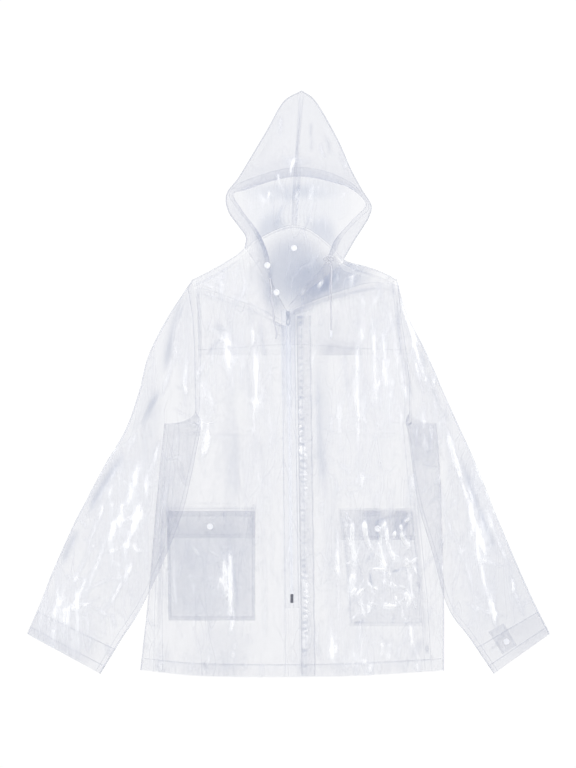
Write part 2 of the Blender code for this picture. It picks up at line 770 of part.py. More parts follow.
def build_hood(side, name, finish):
    rows = [hood_row(side, HOOD_TOP * k / HOOD_STEPS) for k in range(HOOD_STEPS + 1)]
    last_row, last_column = len(rows) - 1, len(rows[0]) - 1

    def seam(i, j):
        if i in (0, last_row) and j == last_column:
            return UP
        if i == 0 and j <= HOOD_TOP_STEPS:
            return across_neck(side)
        if i == 0 and j <= HOOD_TOP_STEPS + FOLD_STEPS:
            return shoulder_outward(neck_x(side)).cross(UP)
        if i == 0:
            return Vector((0, 1, 0))
        return Vector((1, 0, 0)) if i == last_row or j == last_column else None

    film(name, rows, finish, seam=seam, extra=lambda i, j: HEM_EXTRA if j <= 1 else 0.0)


# Pieces on the front

def patch(side, table, layer, bulge):
    """Rows of points on a front, on the front's own lines, raised by layers and a bulge."""
    low, high = table.rows[0][0], table.rows[-1][0]
    heights = [low] + [y for y in level_rows() if low + 8 < y < high - 8] + [high]
    if len(heights) < 4:
        heights = sorted(heights + [mix(low, high, 0.35), mix(low, high, 0.7)])
    inside = [k for k in range(FRONT_COLUMNS + 1)
              if all(table.at("left", y) + 5 < front_x(side, y, k / FRONT_COLUMNS)
                     < table.at("right", y) - 5 for y in heights)]
    rows = []
    for y in heights:
        left, right = table.at("left", y), table.at("right", y)
        lines = [front_x(side, y, k / FRONT_COLUMNS) for k in inside]
        row = []
        for x in sorted([left, right] + lines):
            u, v = (x - left) / (right - left), (y - low) / (high - low)
            z = over_front(side, x, y, PATCH_REACH) + layer * (LAYER + PATCH_EXTRA)
            z += bulge * math.sin(math.pi * u) * math.sin(math.pi * min(1, 0.15 + v))
            row.append(Vector((x, y, z)))
        rows.append(row)
    return rows


def build_pocket(side, word, finish):
    film("pocket_" + word, patch(side, POCKET[side], 1, POCKET_BULGE), finish)
    film("pocket_flap_" + word, patch(side, POCKET_FLAP[side], 2, POCKET_BULGE + 1.0), finish)


def strip_heights(low, high, parts):
    """Heights from low to high, with the front's own rows among them."""
    heights = [mix(low, high, k / parts) for k in range(parts + 1)]
    for y in level_rows() + [38.5, 71.0]:
        if low < y < high:
            nearest = min(range(len(heights)), key=lambda k: abs(heights[k] - y))
            if 0 < nearest < parts:
                heights[nearest] = y
    return heights


def strip_row(offsets, y, raised):
    """A row of points across the closure.  offsets are measured from the zip's line."""
    row = []
    for offset in offsets:
        side = RIGHT if offset < 0 else LEFT
        x = zip_x(y) + offset
        row_y = hem_y(x, y)
        if row_y > YOKE_SEAM.at("y", zip_x(y) - TAPE_HALF) - PATCH_REACH:
            low = max(front_height(x, row_y + a * PATCH_REACH) for a in (-1, 0, 1))
        else:
            low = on_front(side, x, row_y)
        row.append(Vector((x, row_y, low + raised)))
    return row


def build_strip(name, offsets, low, high, parts, finish, wave=0.0):
    rows = []
    for i, y in enumerate(strip_heights(low, high, parts)):
        row = strip_row(offsets, y, LAYER + PATCH_EXTRA)
        for point in row[1:-1]:
            point.z += wave * (i % 2)
        rows.append(row)
    film(name, rows, finish)


def on_tape(y):
    """Where something sits on the zip's tape, on the zip's line."""
    return strip_row((0.0,), y, LAYER + PATCH_EXTRA + WALL / 2 + GAP)[0]


def box_mesh(bm, centre, size):
    made = bmesh.ops.create_cube(bm, size=1.0)
    bmesh.ops.scale(bm, vec=size, verts=made["verts"])
    bmesh.ops.translate(bm, vec=centre, verts=made["verts"])


def build_zip(tape, metal, white):
    build_strip("zip_tape", (-TAPE_HALF, 0.0, TAPE_HALF), ZIP_END_Y - 26.0, ZIP_TOP_Y + 8.0, 22,
                tape)

    bm = bmesh.new()
    ring = ((-CHAIN_HALF, 0.0), (CHAIN_HALF, 0.0), (CHAIN_HALF * 0.7, CHAIN_HEIGHT),
            (-CHAIN_HALF * 0.7, CHAIN_HEIGHT))
    sections = []
    for y in strip_heights(ZIP_END_Y, SLIDER_Y - SLIDER_SIZE[1] / 2 - GAP, 20):
        middle = on_tape(y)
        sections.append([bm.verts.new(middle + Vector((a, 0, b))) for a, b in ring])
    for lower, upper in zip(sections, sections[1:]):
        for j in range(4):
            k = (j + 1) % 4
            bm.faces.new((lower[j], lower[k], upper[k], upper[j]))
    bm.faces.new(reversed(sections[0]))
    bm.faces.new(sections[-1])
    add_object("zip_chain", bm, white)

    # The box at the lower end
    bm = bmesh.new()
    length = ZIP_BOX_SIZE[1]
    middle = on_tape(ZIP_END_Y - GAP - length / 2)
    ends = [on_tape(middle.y + a * length / 2).z for a in (-1, 1)]
    middle.z = max(ends + [middle.z]) + ZIP_BOX_SIZE[2] / 2
    box_mesh(bm, middle, ZIP_BOX_SIZE)
    bmesh.ops.bevel(bm, geom=bm.edges[:], offset=0.8, segments=1, affect="EDGES")
    add_object("zip_box", bm, metal)

    build_slider(metal)


ZIP_BOX_SIZE = (5.4, 16.0, 3.8)
SLIDER_Y = ZIP_TOP_Y - 2.0
SLIDER_SIZE = (7.6, 12.0, 3.2)
EAR_SIZE = (1.2, 3.6, 3.0)
EAR_X = 3.0
BARREL_RADIUS = 1.1
PULL_LENGTH = 20.0
PULL_DROOP = 1.6        # the tab's end lies this much lower than its barrel
PULL_SIZE = (4.2, 1.4)  # width and thickness of the tab's bars


def slider_base():
    """Middle of the slider's underside."""
    reach = SLIDER_SIZE[1] / 2
    middle = on_tape(SLIDER_Y)
    middle.z = max(on_tape(SLIDER_Y + a * reach).z for a in (-1, 0, 1))
    return middle


def pull_axis():
    return slider_base() + Vector((0, 0, SLIDER_SIZE[2] + 1.7))


def build_slider(metal):
    base = slider_base()
    width, length, height = SLIDER_SIZE
    bm = bmesh.new()
    outline = [(-width * 0.36, -length / 2), (width * 0.36, -length / 2), (width / 2, 0.0),
               (width / 2, length * 0.32), (width * 0.3, length / 2), (-width * 0.3, length / 2),
               (-width / 2, length * 0.32), (-width / 2, 0.0)]
    top = base.z + height
    low = [bm.verts.new((base.x + a, base.y + b, base.z)) for a, b in outline]
    high = [bm.verts.new((base.x + a, base.y + b, top)) for a, b in outline]
    for j in range(len(outline)):
        k = (j + 1) % len(outline)
        bm.faces.new((low[j], low[k], high[k], high[j]))
    bm.faces.new(reversed(low))
    bm.faces.new(high)
    add_object("zip_slider", bm, metal)

    slider = bpy.data.objects["zip_slider"]
    for word, ear_side in (("right", -1), ("left", 1)):
        ear = bmesh.new()
        box_mesh(ear, (base.x + ear_side * EAR_X, base.y, top + EAR_SIZE[2] / 2 - 0.4),
                 (EAR_SIZE[0], EAR_SIZE[1], EAR_SIZE[2]))
        cutter = add_object("slider_ear_" + word, ear, metal)
        join(slider, cutter)

    axis = pull_axis()
    bm = bmesh.new()
    bar_width, bar_thick = PULL_SIZE
    made = bmesh.ops.create_cone(bm, cap_ends=True, segments=10, radius1=BARREL_RADIUS,
                                 radius2=BARREL_RADIUS, depth=bar_width - 0.2)
    bmesh.ops.rotate(bm, cent=(0, 0, 0), matrix=Matrix.Rotation(math.pi / 2, 3, "Y"),
                     verts=made["verts"])
    add_object("zip_pull", bm, metal)
    pull = bpy.data.objects["zip_pull"]
    ring = bmesh.new()
    half, hole = 3.0, 1.5
    shape = [(0.9, 0.0), (1.2, -6.0), (half, -9.0), (half, -PULL_LENGTH + 2.0),
             (half - 1.6, -PULL_LENGTH)]
    outline = shape + [(-a, b) for a, b in reversed(shape)]
    tab_points = [(a, b, -PULL_DROOP * b / -PULL_LENGTH) for a, b in outline]
    low = [ring.verts.new((a, b, c - bar_thick / 2)) for a, b, c in tab_points]
    high = [ring.verts.new((a, b, c + bar_thick / 2)) for a, b, c in tab_points]
    for j in range(len(outline)):
        k = (j + 1) % len(outline)
        ring.faces.new((low[j], low[k], high[k], high[j]))
    ring.faces.new(reversed(low))
    ring.faces.new(high)
    tab = add_object("pull_tab", ring, metal)
    eye = bmesh.new()
    box_mesh(eye, (0, -PULL_LENGTH + 7.0, -0.8), (2 * hole, 7.0, 8.0))
    opening = add_object("pull_eye", eye, metal)
    join(tab, opening, "DIFFERENCE")
    join(pull, tab)
    pull.location = axis * MM
    return pull


def join(target, other, operation="UNION"):
    """Applies an exact Boolean of other on target and removes other."""
    modifier = target.modifiers.new("join", "BOOLEAN")
    modifier.operation = operation
    modifier.object = other
    modifier.solver = "EXACT"
    graph = bpy.context.evaluated_depsgraph_get()
    mesh = bpy.data.meshes.new_from_object(target.evaluated_get(graph))
    target.modifiers.clear()
    old = target.data
    mesh.name = old.name
    target.data = mesh
    bpy.data.meshes.remove(old)
    bpy.data.objects.remove(other)


# Small parts

def turned(name, place, profile, finish, segments=12, tilt=None):
    """A turned piece: (radius, height) from its underside's middle, outwards and up."""
    bm = bmesh.new()
    rings = []
    for radius, height in profile:
        if radius == 0:
            rings.append([bm.verts.new((0, 0, height))])
            continue
        rings.append([bm.verts.new((radius * math.cos(2 * math.pi * k / segments),
                                    radius * math.sin(2 * math.pi * k / segments), height))
                      for k in range(segments)])
    for lower, upper in zip(rings, rings[1:]):
        for j in range(segments):
            k = (j + 1) % segments
            face = [lower[j % len(lower)], lower[k % len(lower)],
                    upper[k % len(upper)], upper[j % len(upper)]]
            unique = [v for n, v in enumerate(face) if v not in face[:n]]
            bm.faces.new(unique)
    if profile[0][0] != 0 and profile[0] == profile[-1]:
        bmesh.ops.remove_doubles(bm, verts=bm.verts, dist=1e-5)
    elif profile[0][0] != 0:
        bm.faces.new(reversed(rings[0]))
        bm.faces.new(rings[-1])
    if tilt:
        turn = Vector((0, 0, 1)).rotation_difference(tilt)
        bmesh.ops.rotate(bm, cent=(0, 0, 0), matrix=turn.to_matrix(), verts=bm.verts)
    bmesh.ops.translate(bm, vec=place, verts=bm.verts)
    return add_object(name, bm, finish)


SNAP_PROFILE = ((5.6, 0.0), (5.6, 0.9), (4.4, 1.7), (2.2, 1.4))


def build_snaps(white):
    def on_flap(side, x, y):
        flap = POCKET_FLAP[side]
        u = (x - flap.at("left", y)) / (flap.at("right", y) - flap.at("left", y))
        i = (y - flap.rows[0][0]) / (flap.rows[-1][0] - flap.rows[0][0])
        bulge = (POCKET_BULGE + 1.0) * math.sin(math.pi * u)
        bulge *= math.sin(math.pi * min(1, 0.15 + i))
        low = over_front(side, x, y, PATCH_REACH) + 2 * (LAYER + PATCH_EXTRA)
        return Vector((x, y, low + bulge + SEAT + 0.3))

    turned("snap_pocket_right", on_flap(RIGHT, -141.0, -257.0), SNAP_PROFILE, white)
    turned("snap_pocket_left", on_flap(LEFT, 160.0, -261.0), SNAP_PROFILE, white)
    turned("snap_neck", Vector((10.0, 244.0, back_height(10.0, 244.0) + SEAT)), SNAP_PROFILE,
           white)
    for word, station, v in (("upper", 1.45, 0.13), ("lower", 0.5, 0.1)):
        place = hood_top(RIGHT, station, v) + Vector((0, 0, SEAT + HEM_EXTRA + 0.4))
        turned("snap_throat_" + word, place, SNAP_PROFILE, white)


TAB_STATION = (8.05, 8.72)
TAB_ACROSS = (0.50, 0.74)


def build_cuff_tab(finish, white):
    rows = []
    for i in range(4):
        station = mix(*TAB_STATION, i / 3)
        row = [sleeve_front(LEFT, station, mix(*TAB_ACROSS, j / 3)) for j in range(4)]
        for point in row:
            point.z += LAYER + HEM_EXTRA
        rows.append(row)
    film("cuff_tab_left", rows, finish)
    place = sleeve_front(LEFT, 8.5, 0.60) + Vector((0, 0, LAYER + HEM_EXTRA + SEAT))
    turned("snap_cuff_left", place, SNAP_PROFILE, white)


BEAD_PROFILE = ((1.6, 0.0), (2.4, 2.0), (2.6, 8.0), (2.2, 13.0), (1.2, 15.0))
CORD_RADIUS = 1.25
CORD_SAG = 0.35         # clearance of the cord over the film
# Where each end leaves the hood's casing: hood station and place across
CORD_EXIT = {RIGHT: (0.95, 0.14), LEFT: (2.0, 0.16)}
CORD_ROUTE = {
    RIGHT: Table("x y rise", (-31.0, 170.0, 0.8), (-30.5, 158.0, 0.2), (-29.0, 145.0, 0.0),
                 (-27.5, 131.0, 0.0), (-26.5, 117.0, 0.0), (-24.0, 103.0, 0.0),
                 (-21.0, 91.0, 0.0), (-23.0, 80.0, 0.0)),
    LEFT: Table("x y rise", (77.5, 206.0, 0.4), (77.0, 192.0, 0.0), (76.5, 176.0, 0.0),
                (76.0, 160.0, 0.0), (76.2, 144.0, 0.0), (76.8, 128.0, 0.0),
                (77.0, 112.0, 0.0), (76.5, 96.0, 0.0))}


def hood_or_front(x, y, side):
    """Upper face of what lies under a cord: the hood's casing or the front."""
    best = None
    for k in range(41):
        for v in (0.0, 0.1, 0.2, 0.3):
            point = hood_top(side, k / 10, v)
            distance = (point.x - x) ** 2 + (point.y - y) ** 2
            if best is None or distance < best[0]:
                best = (distance, point.z)
    hood = best[1] + HEM_EXTRA if best[0] < 12.0 ** 2 else 0.0
    return max(hood, front_height(x, y)) + WALL / 2


def cord_points(side):
    """Smooth points through the route's own ones, from the casing to the cord's end."""
    station, v = CORD_EXIT[side]
    above = WALL / 2 + HEM_EXTRA + CORD_RADIUS + CORD_SAG + 0.3
    own = [hood_top(side, station, v) + Vector((0, 0, above))]
    for x, y, rise in CORD_ROUTE[side].rows:
        own.append(Vector((x, y, hood_or_front(x, y, side) + CORD_RADIUS + CORD_SAG + rise)))
    points = []
    per_span = 4
    for i in range(len(own) - 1):
        before, after = own[max(i - 1, 0)], own[min(i + 2, len(own) - 1)]
        for k in range(per_span):
            f = k / per_span
            a, b = own[i], own[i + 1]
            m0, m1 = (b - before) / 2, (after - a) / 2
            points.append(a * (2 * f ** 3 - 3 * f ** 2 + 1) + m0 * (f ** 3 - 2 * f ** 2 + f)
                          + b * (3 * f ** 2 - 2 * f ** 3) + m1 * (f ** 3 - f ** 2))
    points.append(own[-1])
    return points


def build_cord(side, word, finish):
    curve = bpy.data.curves.new("drawstring_" + word, "CURVE")
    curve.dimensions = "3D"
    curve.bevel_depth = CORD_RADIUS * MM
    curve.bevel_resolution = 2
    curve.use_fill_caps = True
    points = cord_points(side)
    spline = curve.splines.new("POLY")
    spline.points.add(len(points) - 1)
    for target, point in zip(spline.points, points):
        target.co = (*(point * MM), 1.0)
    curve.materials.append(finish)
    made = bpy.data.objects.new("drawstring_" + word, curve)
    bpy.context.collection.objects.link(made)
    return points


def build_drawstring(cord, white):
    for side, word in ((RIGHT, "right"), (LEFT, "left")):
        points = build_cord(side, word, cord)
        if side == LEFT:
            along = (points[-1] - points[-2]).normalized()
            start = points[-1] + along * GAP
            start.z += max(radius for radius, _ in BEAD_PROFILE) - CORD_RADIUS
            turned("drawstring_bead_left", start, BEAD_PROFILE, white, segments=8, tilt=along)


def main():
    for old in list(bpy.data.objects):
        bpy.data.objects.remove(old, do_unlink=True)
    clear = material("clear_film", (0.86, 0.87, 0.92), 0.14, alpha=0.45)
    tape = material("zip_tape", (0.88, 0.89, 0.93), 0.5)
    white = material("white_plastic", (0.93, 0.93, 0.95), 0.35)
    metal = material("dark_metal", (0.22, 0.22, 0.25), 0.3, metallic=0.8)
    cord = material("white_cord", (0.9, 0.9, 0.93), 0.6)

    build_cape(clear)
    build_back(clear)
    for side, word in ((RIGHT, "right"), (LEFT, "left")):
        build_front(side, "front_" + word, clear)
        build_yoke(side, "yoke_" + word, clear)
        build_sleeve(side, "sleeve_" + word, clear)
        build_hood(side, "hood_" + word, clear)
        build_pocket(side, word, clear)
    build_strip("wind_flap", FLAP_OFFSETS, HEM_Y + 3.0, ZIP_TOP_Y - 4.0, 2 * PUCKERS, clear,
                wave=PUCKER_HEIGHT)
    build_zip(tape, metal, white)
    build_cuff_tab(clear, white)
    build_snaps(white)
    build_drawstring(cord, white)


main()
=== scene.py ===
"""Looks of a clear film rain jacket, laid flat on its back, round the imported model.

Sizes and tables are in millimetres and meshes are made in metres.  The surfaces repeat the
tables and formulas of the solids, with creases, hems, sewing and teeth added.  "Right" and
"left" in names are the wearer's.
"""
import math

import bpy
import numpy as np
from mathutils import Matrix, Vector


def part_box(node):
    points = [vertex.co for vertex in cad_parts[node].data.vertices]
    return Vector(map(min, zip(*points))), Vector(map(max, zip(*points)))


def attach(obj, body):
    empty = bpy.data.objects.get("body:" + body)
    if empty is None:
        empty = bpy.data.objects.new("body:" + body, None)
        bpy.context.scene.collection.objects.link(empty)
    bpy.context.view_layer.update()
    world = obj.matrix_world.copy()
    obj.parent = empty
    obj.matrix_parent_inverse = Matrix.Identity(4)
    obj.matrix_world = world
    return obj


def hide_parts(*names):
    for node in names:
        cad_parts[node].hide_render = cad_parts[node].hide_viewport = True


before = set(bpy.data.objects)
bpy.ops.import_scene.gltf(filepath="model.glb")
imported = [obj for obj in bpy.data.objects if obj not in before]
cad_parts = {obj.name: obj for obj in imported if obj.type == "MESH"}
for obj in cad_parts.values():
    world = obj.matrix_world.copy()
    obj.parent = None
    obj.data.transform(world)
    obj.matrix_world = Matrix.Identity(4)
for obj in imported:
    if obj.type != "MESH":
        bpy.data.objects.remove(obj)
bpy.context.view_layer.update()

MM = 0.001
RIGHT, LEFT = -1, 1
WORDS = {RIGHT: "right", LEFT: "left"}

# Layers, as in the solids
WALL = 1.2
GAP = 0.3
LAYER = WALL + GAP
FLOOR = WALL / 2
LOFT = 8.0
CROWN = 5.0
CROWN_WIDTH = 80.0
FLAT_SLEEVE = 3.0
PATCH_EXTRA = 0.2
HEM_WIDTH = 24.0

FILM = 0.4              # thickness of the film that shows
BAND = 0.55             # step from a film to its turned hem or seam allowance
FINE = 3.5              # side of a face of the film
BAND_FILM = 0.3         # thickness of a turned hem or seam allowance that shows
THIN = -0.042           # a turned hem adds less milkiness than a film of its own
CUFF_THIN = -0.052      # and the sleeve's turned cuff, which lies double, still less
THREAD_RISE = 0.3       # stitches above the middle of their film

# Heights along the body
HEM_Y = -520.0
HEM_CURVE_TOP = -400.0
ARM_BOTTOM = -72.0
ARM_ARC_TOP = -45.0
TUCK_START = 8.0
TUCK_LENGTH = 35.0
TUCK_CLEAR = 30.0
TUCK_RAMP = 35.0
CAPE_HEM_Y = 51.0
CAPE_RAMP = 14.0
ZIP_TOP_Y = 126.0
ZIP_END_Y = -378.0
LEVEL_TOP = 71.0        # above this the rows bend towards the upper edges
BENT_ROWS = 80.0
SHOULDER_Y = 188.0      # the armholes' upper ends
YOKE_LEVEL = 150.0      # where the fronts' width is read for the yoke seams
YOKE_LEFT_END_Y = 138.0
BACK_NECK_Y = 284.5     # lower end of the hood's centre seam


def smooth(value):
    value = np.clip(value, 0.0, 1.0)
    return value * value * (3 - 2 * value)


def mix(a, b, f):
    return a + (b - a) * f


def hermite(a, b, slope_a, slope_b, f):
    """Smooth curve from a to b that leaves and arrives with the given slopes."""
    return ((2 * f ** 3 - 3 * f ** 2 + 1) * a + (f ** 3 - 2 * f ** 2 + f) * slope_a
            + (3 * f ** 2 - 2 * f ** 3) * b + (f ** 3 - f ** 2) * slope_b)


def unit(vectors):
    """Vectors at length 1 along the last axis."""
    return vectors / np.maximum(np.linalg.norm(vectors, axis=-1, keepdims=True), 1e-9)


class Table:
    """Rows of named columns.  at() reads a smooth curve through a column by the first one."""

    def __init__(self, columns, *rows):
        self.columns = columns.split()
        self.rows = np.array(rows, float)

    def column(self, name):
        return self.rows[:, self.columns.index(name)]

    def straight(self, name, key):
        return np.interp(key, self.rows[:, 0], self.column(name))

    def at(self, name, key):
        keys, values = self.rows[:, 0], self.column(name)
        key = np.clip(key, keys[0], keys[-1])
        i = np.clip(np.searchsorted(keys, key, side="right") - 1, 0, len(keys) - 2)
        slopes = np.empty_like(values)
        slopes[1:-1] = (values[2:] - values[:-2]) / (keys[2:] - keys[:-2])
        slopes[0] = (values[1] - values[0]) / (keys[1] - keys[0])
        slopes[-1] = (values[-1] - values[-2]) / (keys[-1] - keys[-2])
        span = keys[i + 1] - keys[i]
        return hermite(values[i], values[i + 1], slopes[i] * span, slopes[i + 1] * span,
                       (key - keys[i]) / span)

    def plan(self, name, key):
        """Points from the columns name_x and name_y."""
        return np.stack([self.at(name + "_x", key), self.at(name + "_y", key)], -1)


BODY = Table("y left right seam_right seam_left",
             (-522.0, -267.0, 280.0, -236.0, 256.0),
             (-400.0, -254.0, 280.0, -237.0, 248.0),
             (-280.0, -243.0, 277.0, -232.0, 236.0),
             (-165.0, -233.0, 273.0, -223.0, 223.0),
             (-72.0, -223.0, 266.0, -213.0, 214.0))
HEM = Table("x y",
            (-267.0, -516.0), (-160.0, -526.5), (0.0, -528.5), (110.0, -526.5), (280.0, -517.0))
ARMHOLE = Table("y right left",
                (-72.0, -167.0, 219.0), (6.0, -166.0, 217.0), (71.0, -163.5, 209.0),
                (132.0, -164.5, 200.0), (188.0, -172.5, 194.5))
TOP = Table("x y",
            (-172.5, 187.0), (-127.0, 211.0), (-93.0, 232.0), (-80.0, 243.5), (-50.0, 262.0),
            (-17.0, 278.0), (10.0, 284.0), (38.0, 276.0), (70.0, 252.0), (100.0, 223.0),
            (138.0, 211.5), (168.0, 201.0), (194.5, 187.0))
NECK_X = {RIGHT: -80.0, LEFT: 100.0}
YOKE_SEAM = Table("x y",
                  (-172.0, 172.0), (-139.0, 166.0), (-105.0, 152.0), (-69.0, 138.0),
                  (-38.0, 122.0), (-1.0, 104.0), (2.0, 126.0), (38.0, 145.0), (78.0, 160.0),
                  (105.0, 169.0), (136.0, 178.0), (172.0, 181.0), (196.0, 173.0))
SLEEVE = {
    RIGHT: Table("station outer_x outer_y inner_x inner_y",
                 (0, -172.5, 188.0, -158.0, -72.0),
                 (1, -217.0, 120.0, -159.0, -82.0),
                 (2, -252.0, 51.0, -161.0, -95.0),
                 (3, -270.0, -17.0, -166.0, -120.0),
                 (4, -294.0, -84.0, -175.0, -165.0),
                 (5, -330.0, -145.0, -192.0, -235.0),
                 (6, -382.0, -244.0, -226.0, -322.0),
                 (7, -420.0, -327.0, -266.0, -405.0),
                 (8, -447.0, -395.0, -303.0, -464.0),
                 (9, -471.0, -451.0, -339.0, -523.0)),
    LEFT: Table("station outer_x outer_y inner_x inner_y",
                (0, 194.5, 188.0, 212.0, -72.0),
                (1, 213.0, 124.0, 215.0, -84.0),
                (2, 246.0, 60.0, 217.0, -100.0),
                (3, 283.0, -24.0, 221.0, -130.0),
                (4, 310.0, -84.0, 229.0, -190.0),
                (5, 337.5, -145.0, 240.0, -240.0),
                (6, 377.0, -244.0, 261.0, -310.0),
                (7, 412.0, -327.0, 287.0, -402.0),
                (8, 443.0, -396.0, 328.0, -461.0),
                (9, 471.0, -451.0, 370.0, -523.0))}
CUFF_STATION = 9.0
INNER_EDGE = {side: Table("y x", *[(row[4], row[3]) for row in SLEEVE[side].rows[::-1]])
              for side in (RIGHT, LEFT)}
HOOD = {
    RIGHT: Table("station edge_x edge_y fold_x fold_y back_y",
                 (0, -1.5, 127.2, -79.3, 243.9, 284.5),
                 (1, -28.0, 180.0, -77.0, 264.0, 300.0),
                 (2, -36.0, 230.0, -91.0, 285.0, 316.0),
                 (3, -54.0, 272.0, -107.0, 307.0, 334.0),
                 (4, -82.0, 310.0, -113.0, 329.0, 352.0),
                 (5, -98.0, 340.0, -109.0, 347.0, 370.0),
                 (6, -76.0, 348.0, -91.0, 370.0, 390.0),
                 (7, -44.0, 359.0, -66.0, 411.0, 412.0),
                 (8, -18.0, 366.0, -38.0, 458.0, 432.0),
                 (9, 2.0, 370.0, -9.0, 508.0, 452.0),
                 (10, 11.5, 371.0, 24.0, 528.0, 470.0)),
    LEFT: Table("station edge_x edge_y fold_x fold_y back_y",
                (0, -0.6, 139.0, 99.3, 223.4, 284.5),
                (1, 31.0, 177.0, 110.0, 242.0, 300.0),
                (2, 64.0, 214.0, 121.0, 261.0, 316.0),
                (3, 83.0, 258.0, 134.0, 281.0, 334.0),
                (4, 112.0, 292.0, 146.0, 302.0, 352.0),
                (5, 138.0, 323.0, 149.0, 322.0, 370.0),
                (6, 112.0, 350.0, 132.0, 350.0, 390.0),
                (7, 82.0, 360.0, 113.0, 385.0, 412.0),
                (8, 54.0, 367.0, 88.0, 441.0, 432.0),
                (9, 28.0, 371.0, 50.0, 507.0, 452.0),
                (10, 11.5, 371.0, 24.0, 528.0, 470.0))}
HOOD_TOP = 10.0
PLEATS = 3
PLEAT_WIDTH = 15.0
PLEAT_HEIGHT = 3.2
BRIM_LIFT = 14.0
CASING = 17.0           # width of the hood's turned front edge
BACK_SEAM = Table("y x", (284.0, 10.0), (528.0, 24.0))
FRONT_FOLD = (  # top_x top_y bottom_x bottom_y half_width height
    (-96.0, 60.0, -112.0, -470.0, 30.0, -3.0),
    (-150.0, 20.0, -140.0, -190.0, 22.0, 3.0),
    (-48.0, 90.0, -62.0, -300.0, 24.0, 2.0),
    (58.0, 70.0, 88.0, -470.0, 30.0, -3.2),
    (112.0, 120.0, 124.0, -200.0, 24.0, 3.0),
    (168.0, 90.0, 178.0, -180.0, 22.0, 2.5))
SLEEVE_FOLD = {RIGHT: ((0.30, 0.16, -2.6), (0.62, 0.18, 2.4)),
               LEFT: ((0.34, 0.15, 3.2), (0.66, 0.16, -2.4))}
TAPE_HALF = 13.5
POCKET = {
    RIGHT: Table("y left right", (-426.0, -216.0, -60.0), (-229.0, -219.0, -60.0)),
    LEFT: Table("y left right", (-436.0, 110.0, 241.0), (-330.0, 103.0, 234.0),
                (-229.0, 91.0, 224.0))}
POCKET_FLAP = {
    RIGHT: Table("y left right", (-277.0, -218.0, -60.0), (-221.0, -220.0, -58.0)),
    LEFT: Table("y left right", (-281.0, 93.0, 227.0), (-224.0, 89.0, 223.0))}
POCKET_BULGE = 2.2
TAB_STATION = (8.05, 8.72)
TAB_ACROSS = (0.50, 0.74)
CORD_RADIUS = 1.25
CORD_EXIT = {RIGHT: (0.95, 0.14), LEFT: (2.0, 0.16)}
CORD_ROUTE = {
    RIGHT: ((-31.0, 170.0, 0.8), (-30.5, 158.0, 0.2), (-29.0, 145.0, 0.0), (-27.5, 131.0, 0.0),
            (-26.5, 117.0, 0.0), (-24.0, 103.0, 0.0), (-21.0, 91.0, 0.0), (-23.0, 80.0, 0.0)),
    LEFT: ((77.5, 206.0, 0.4), (77.0, 192.0, 0.0), (76.5, 176.0, 0.0), (76.0, 160.0, 0.0),
           (76.2, 144.0, 0.0), (76.8, 128.0, 0.0), (77.0, 112.0, 0.0), (76.5, 96.0, 0.0))}

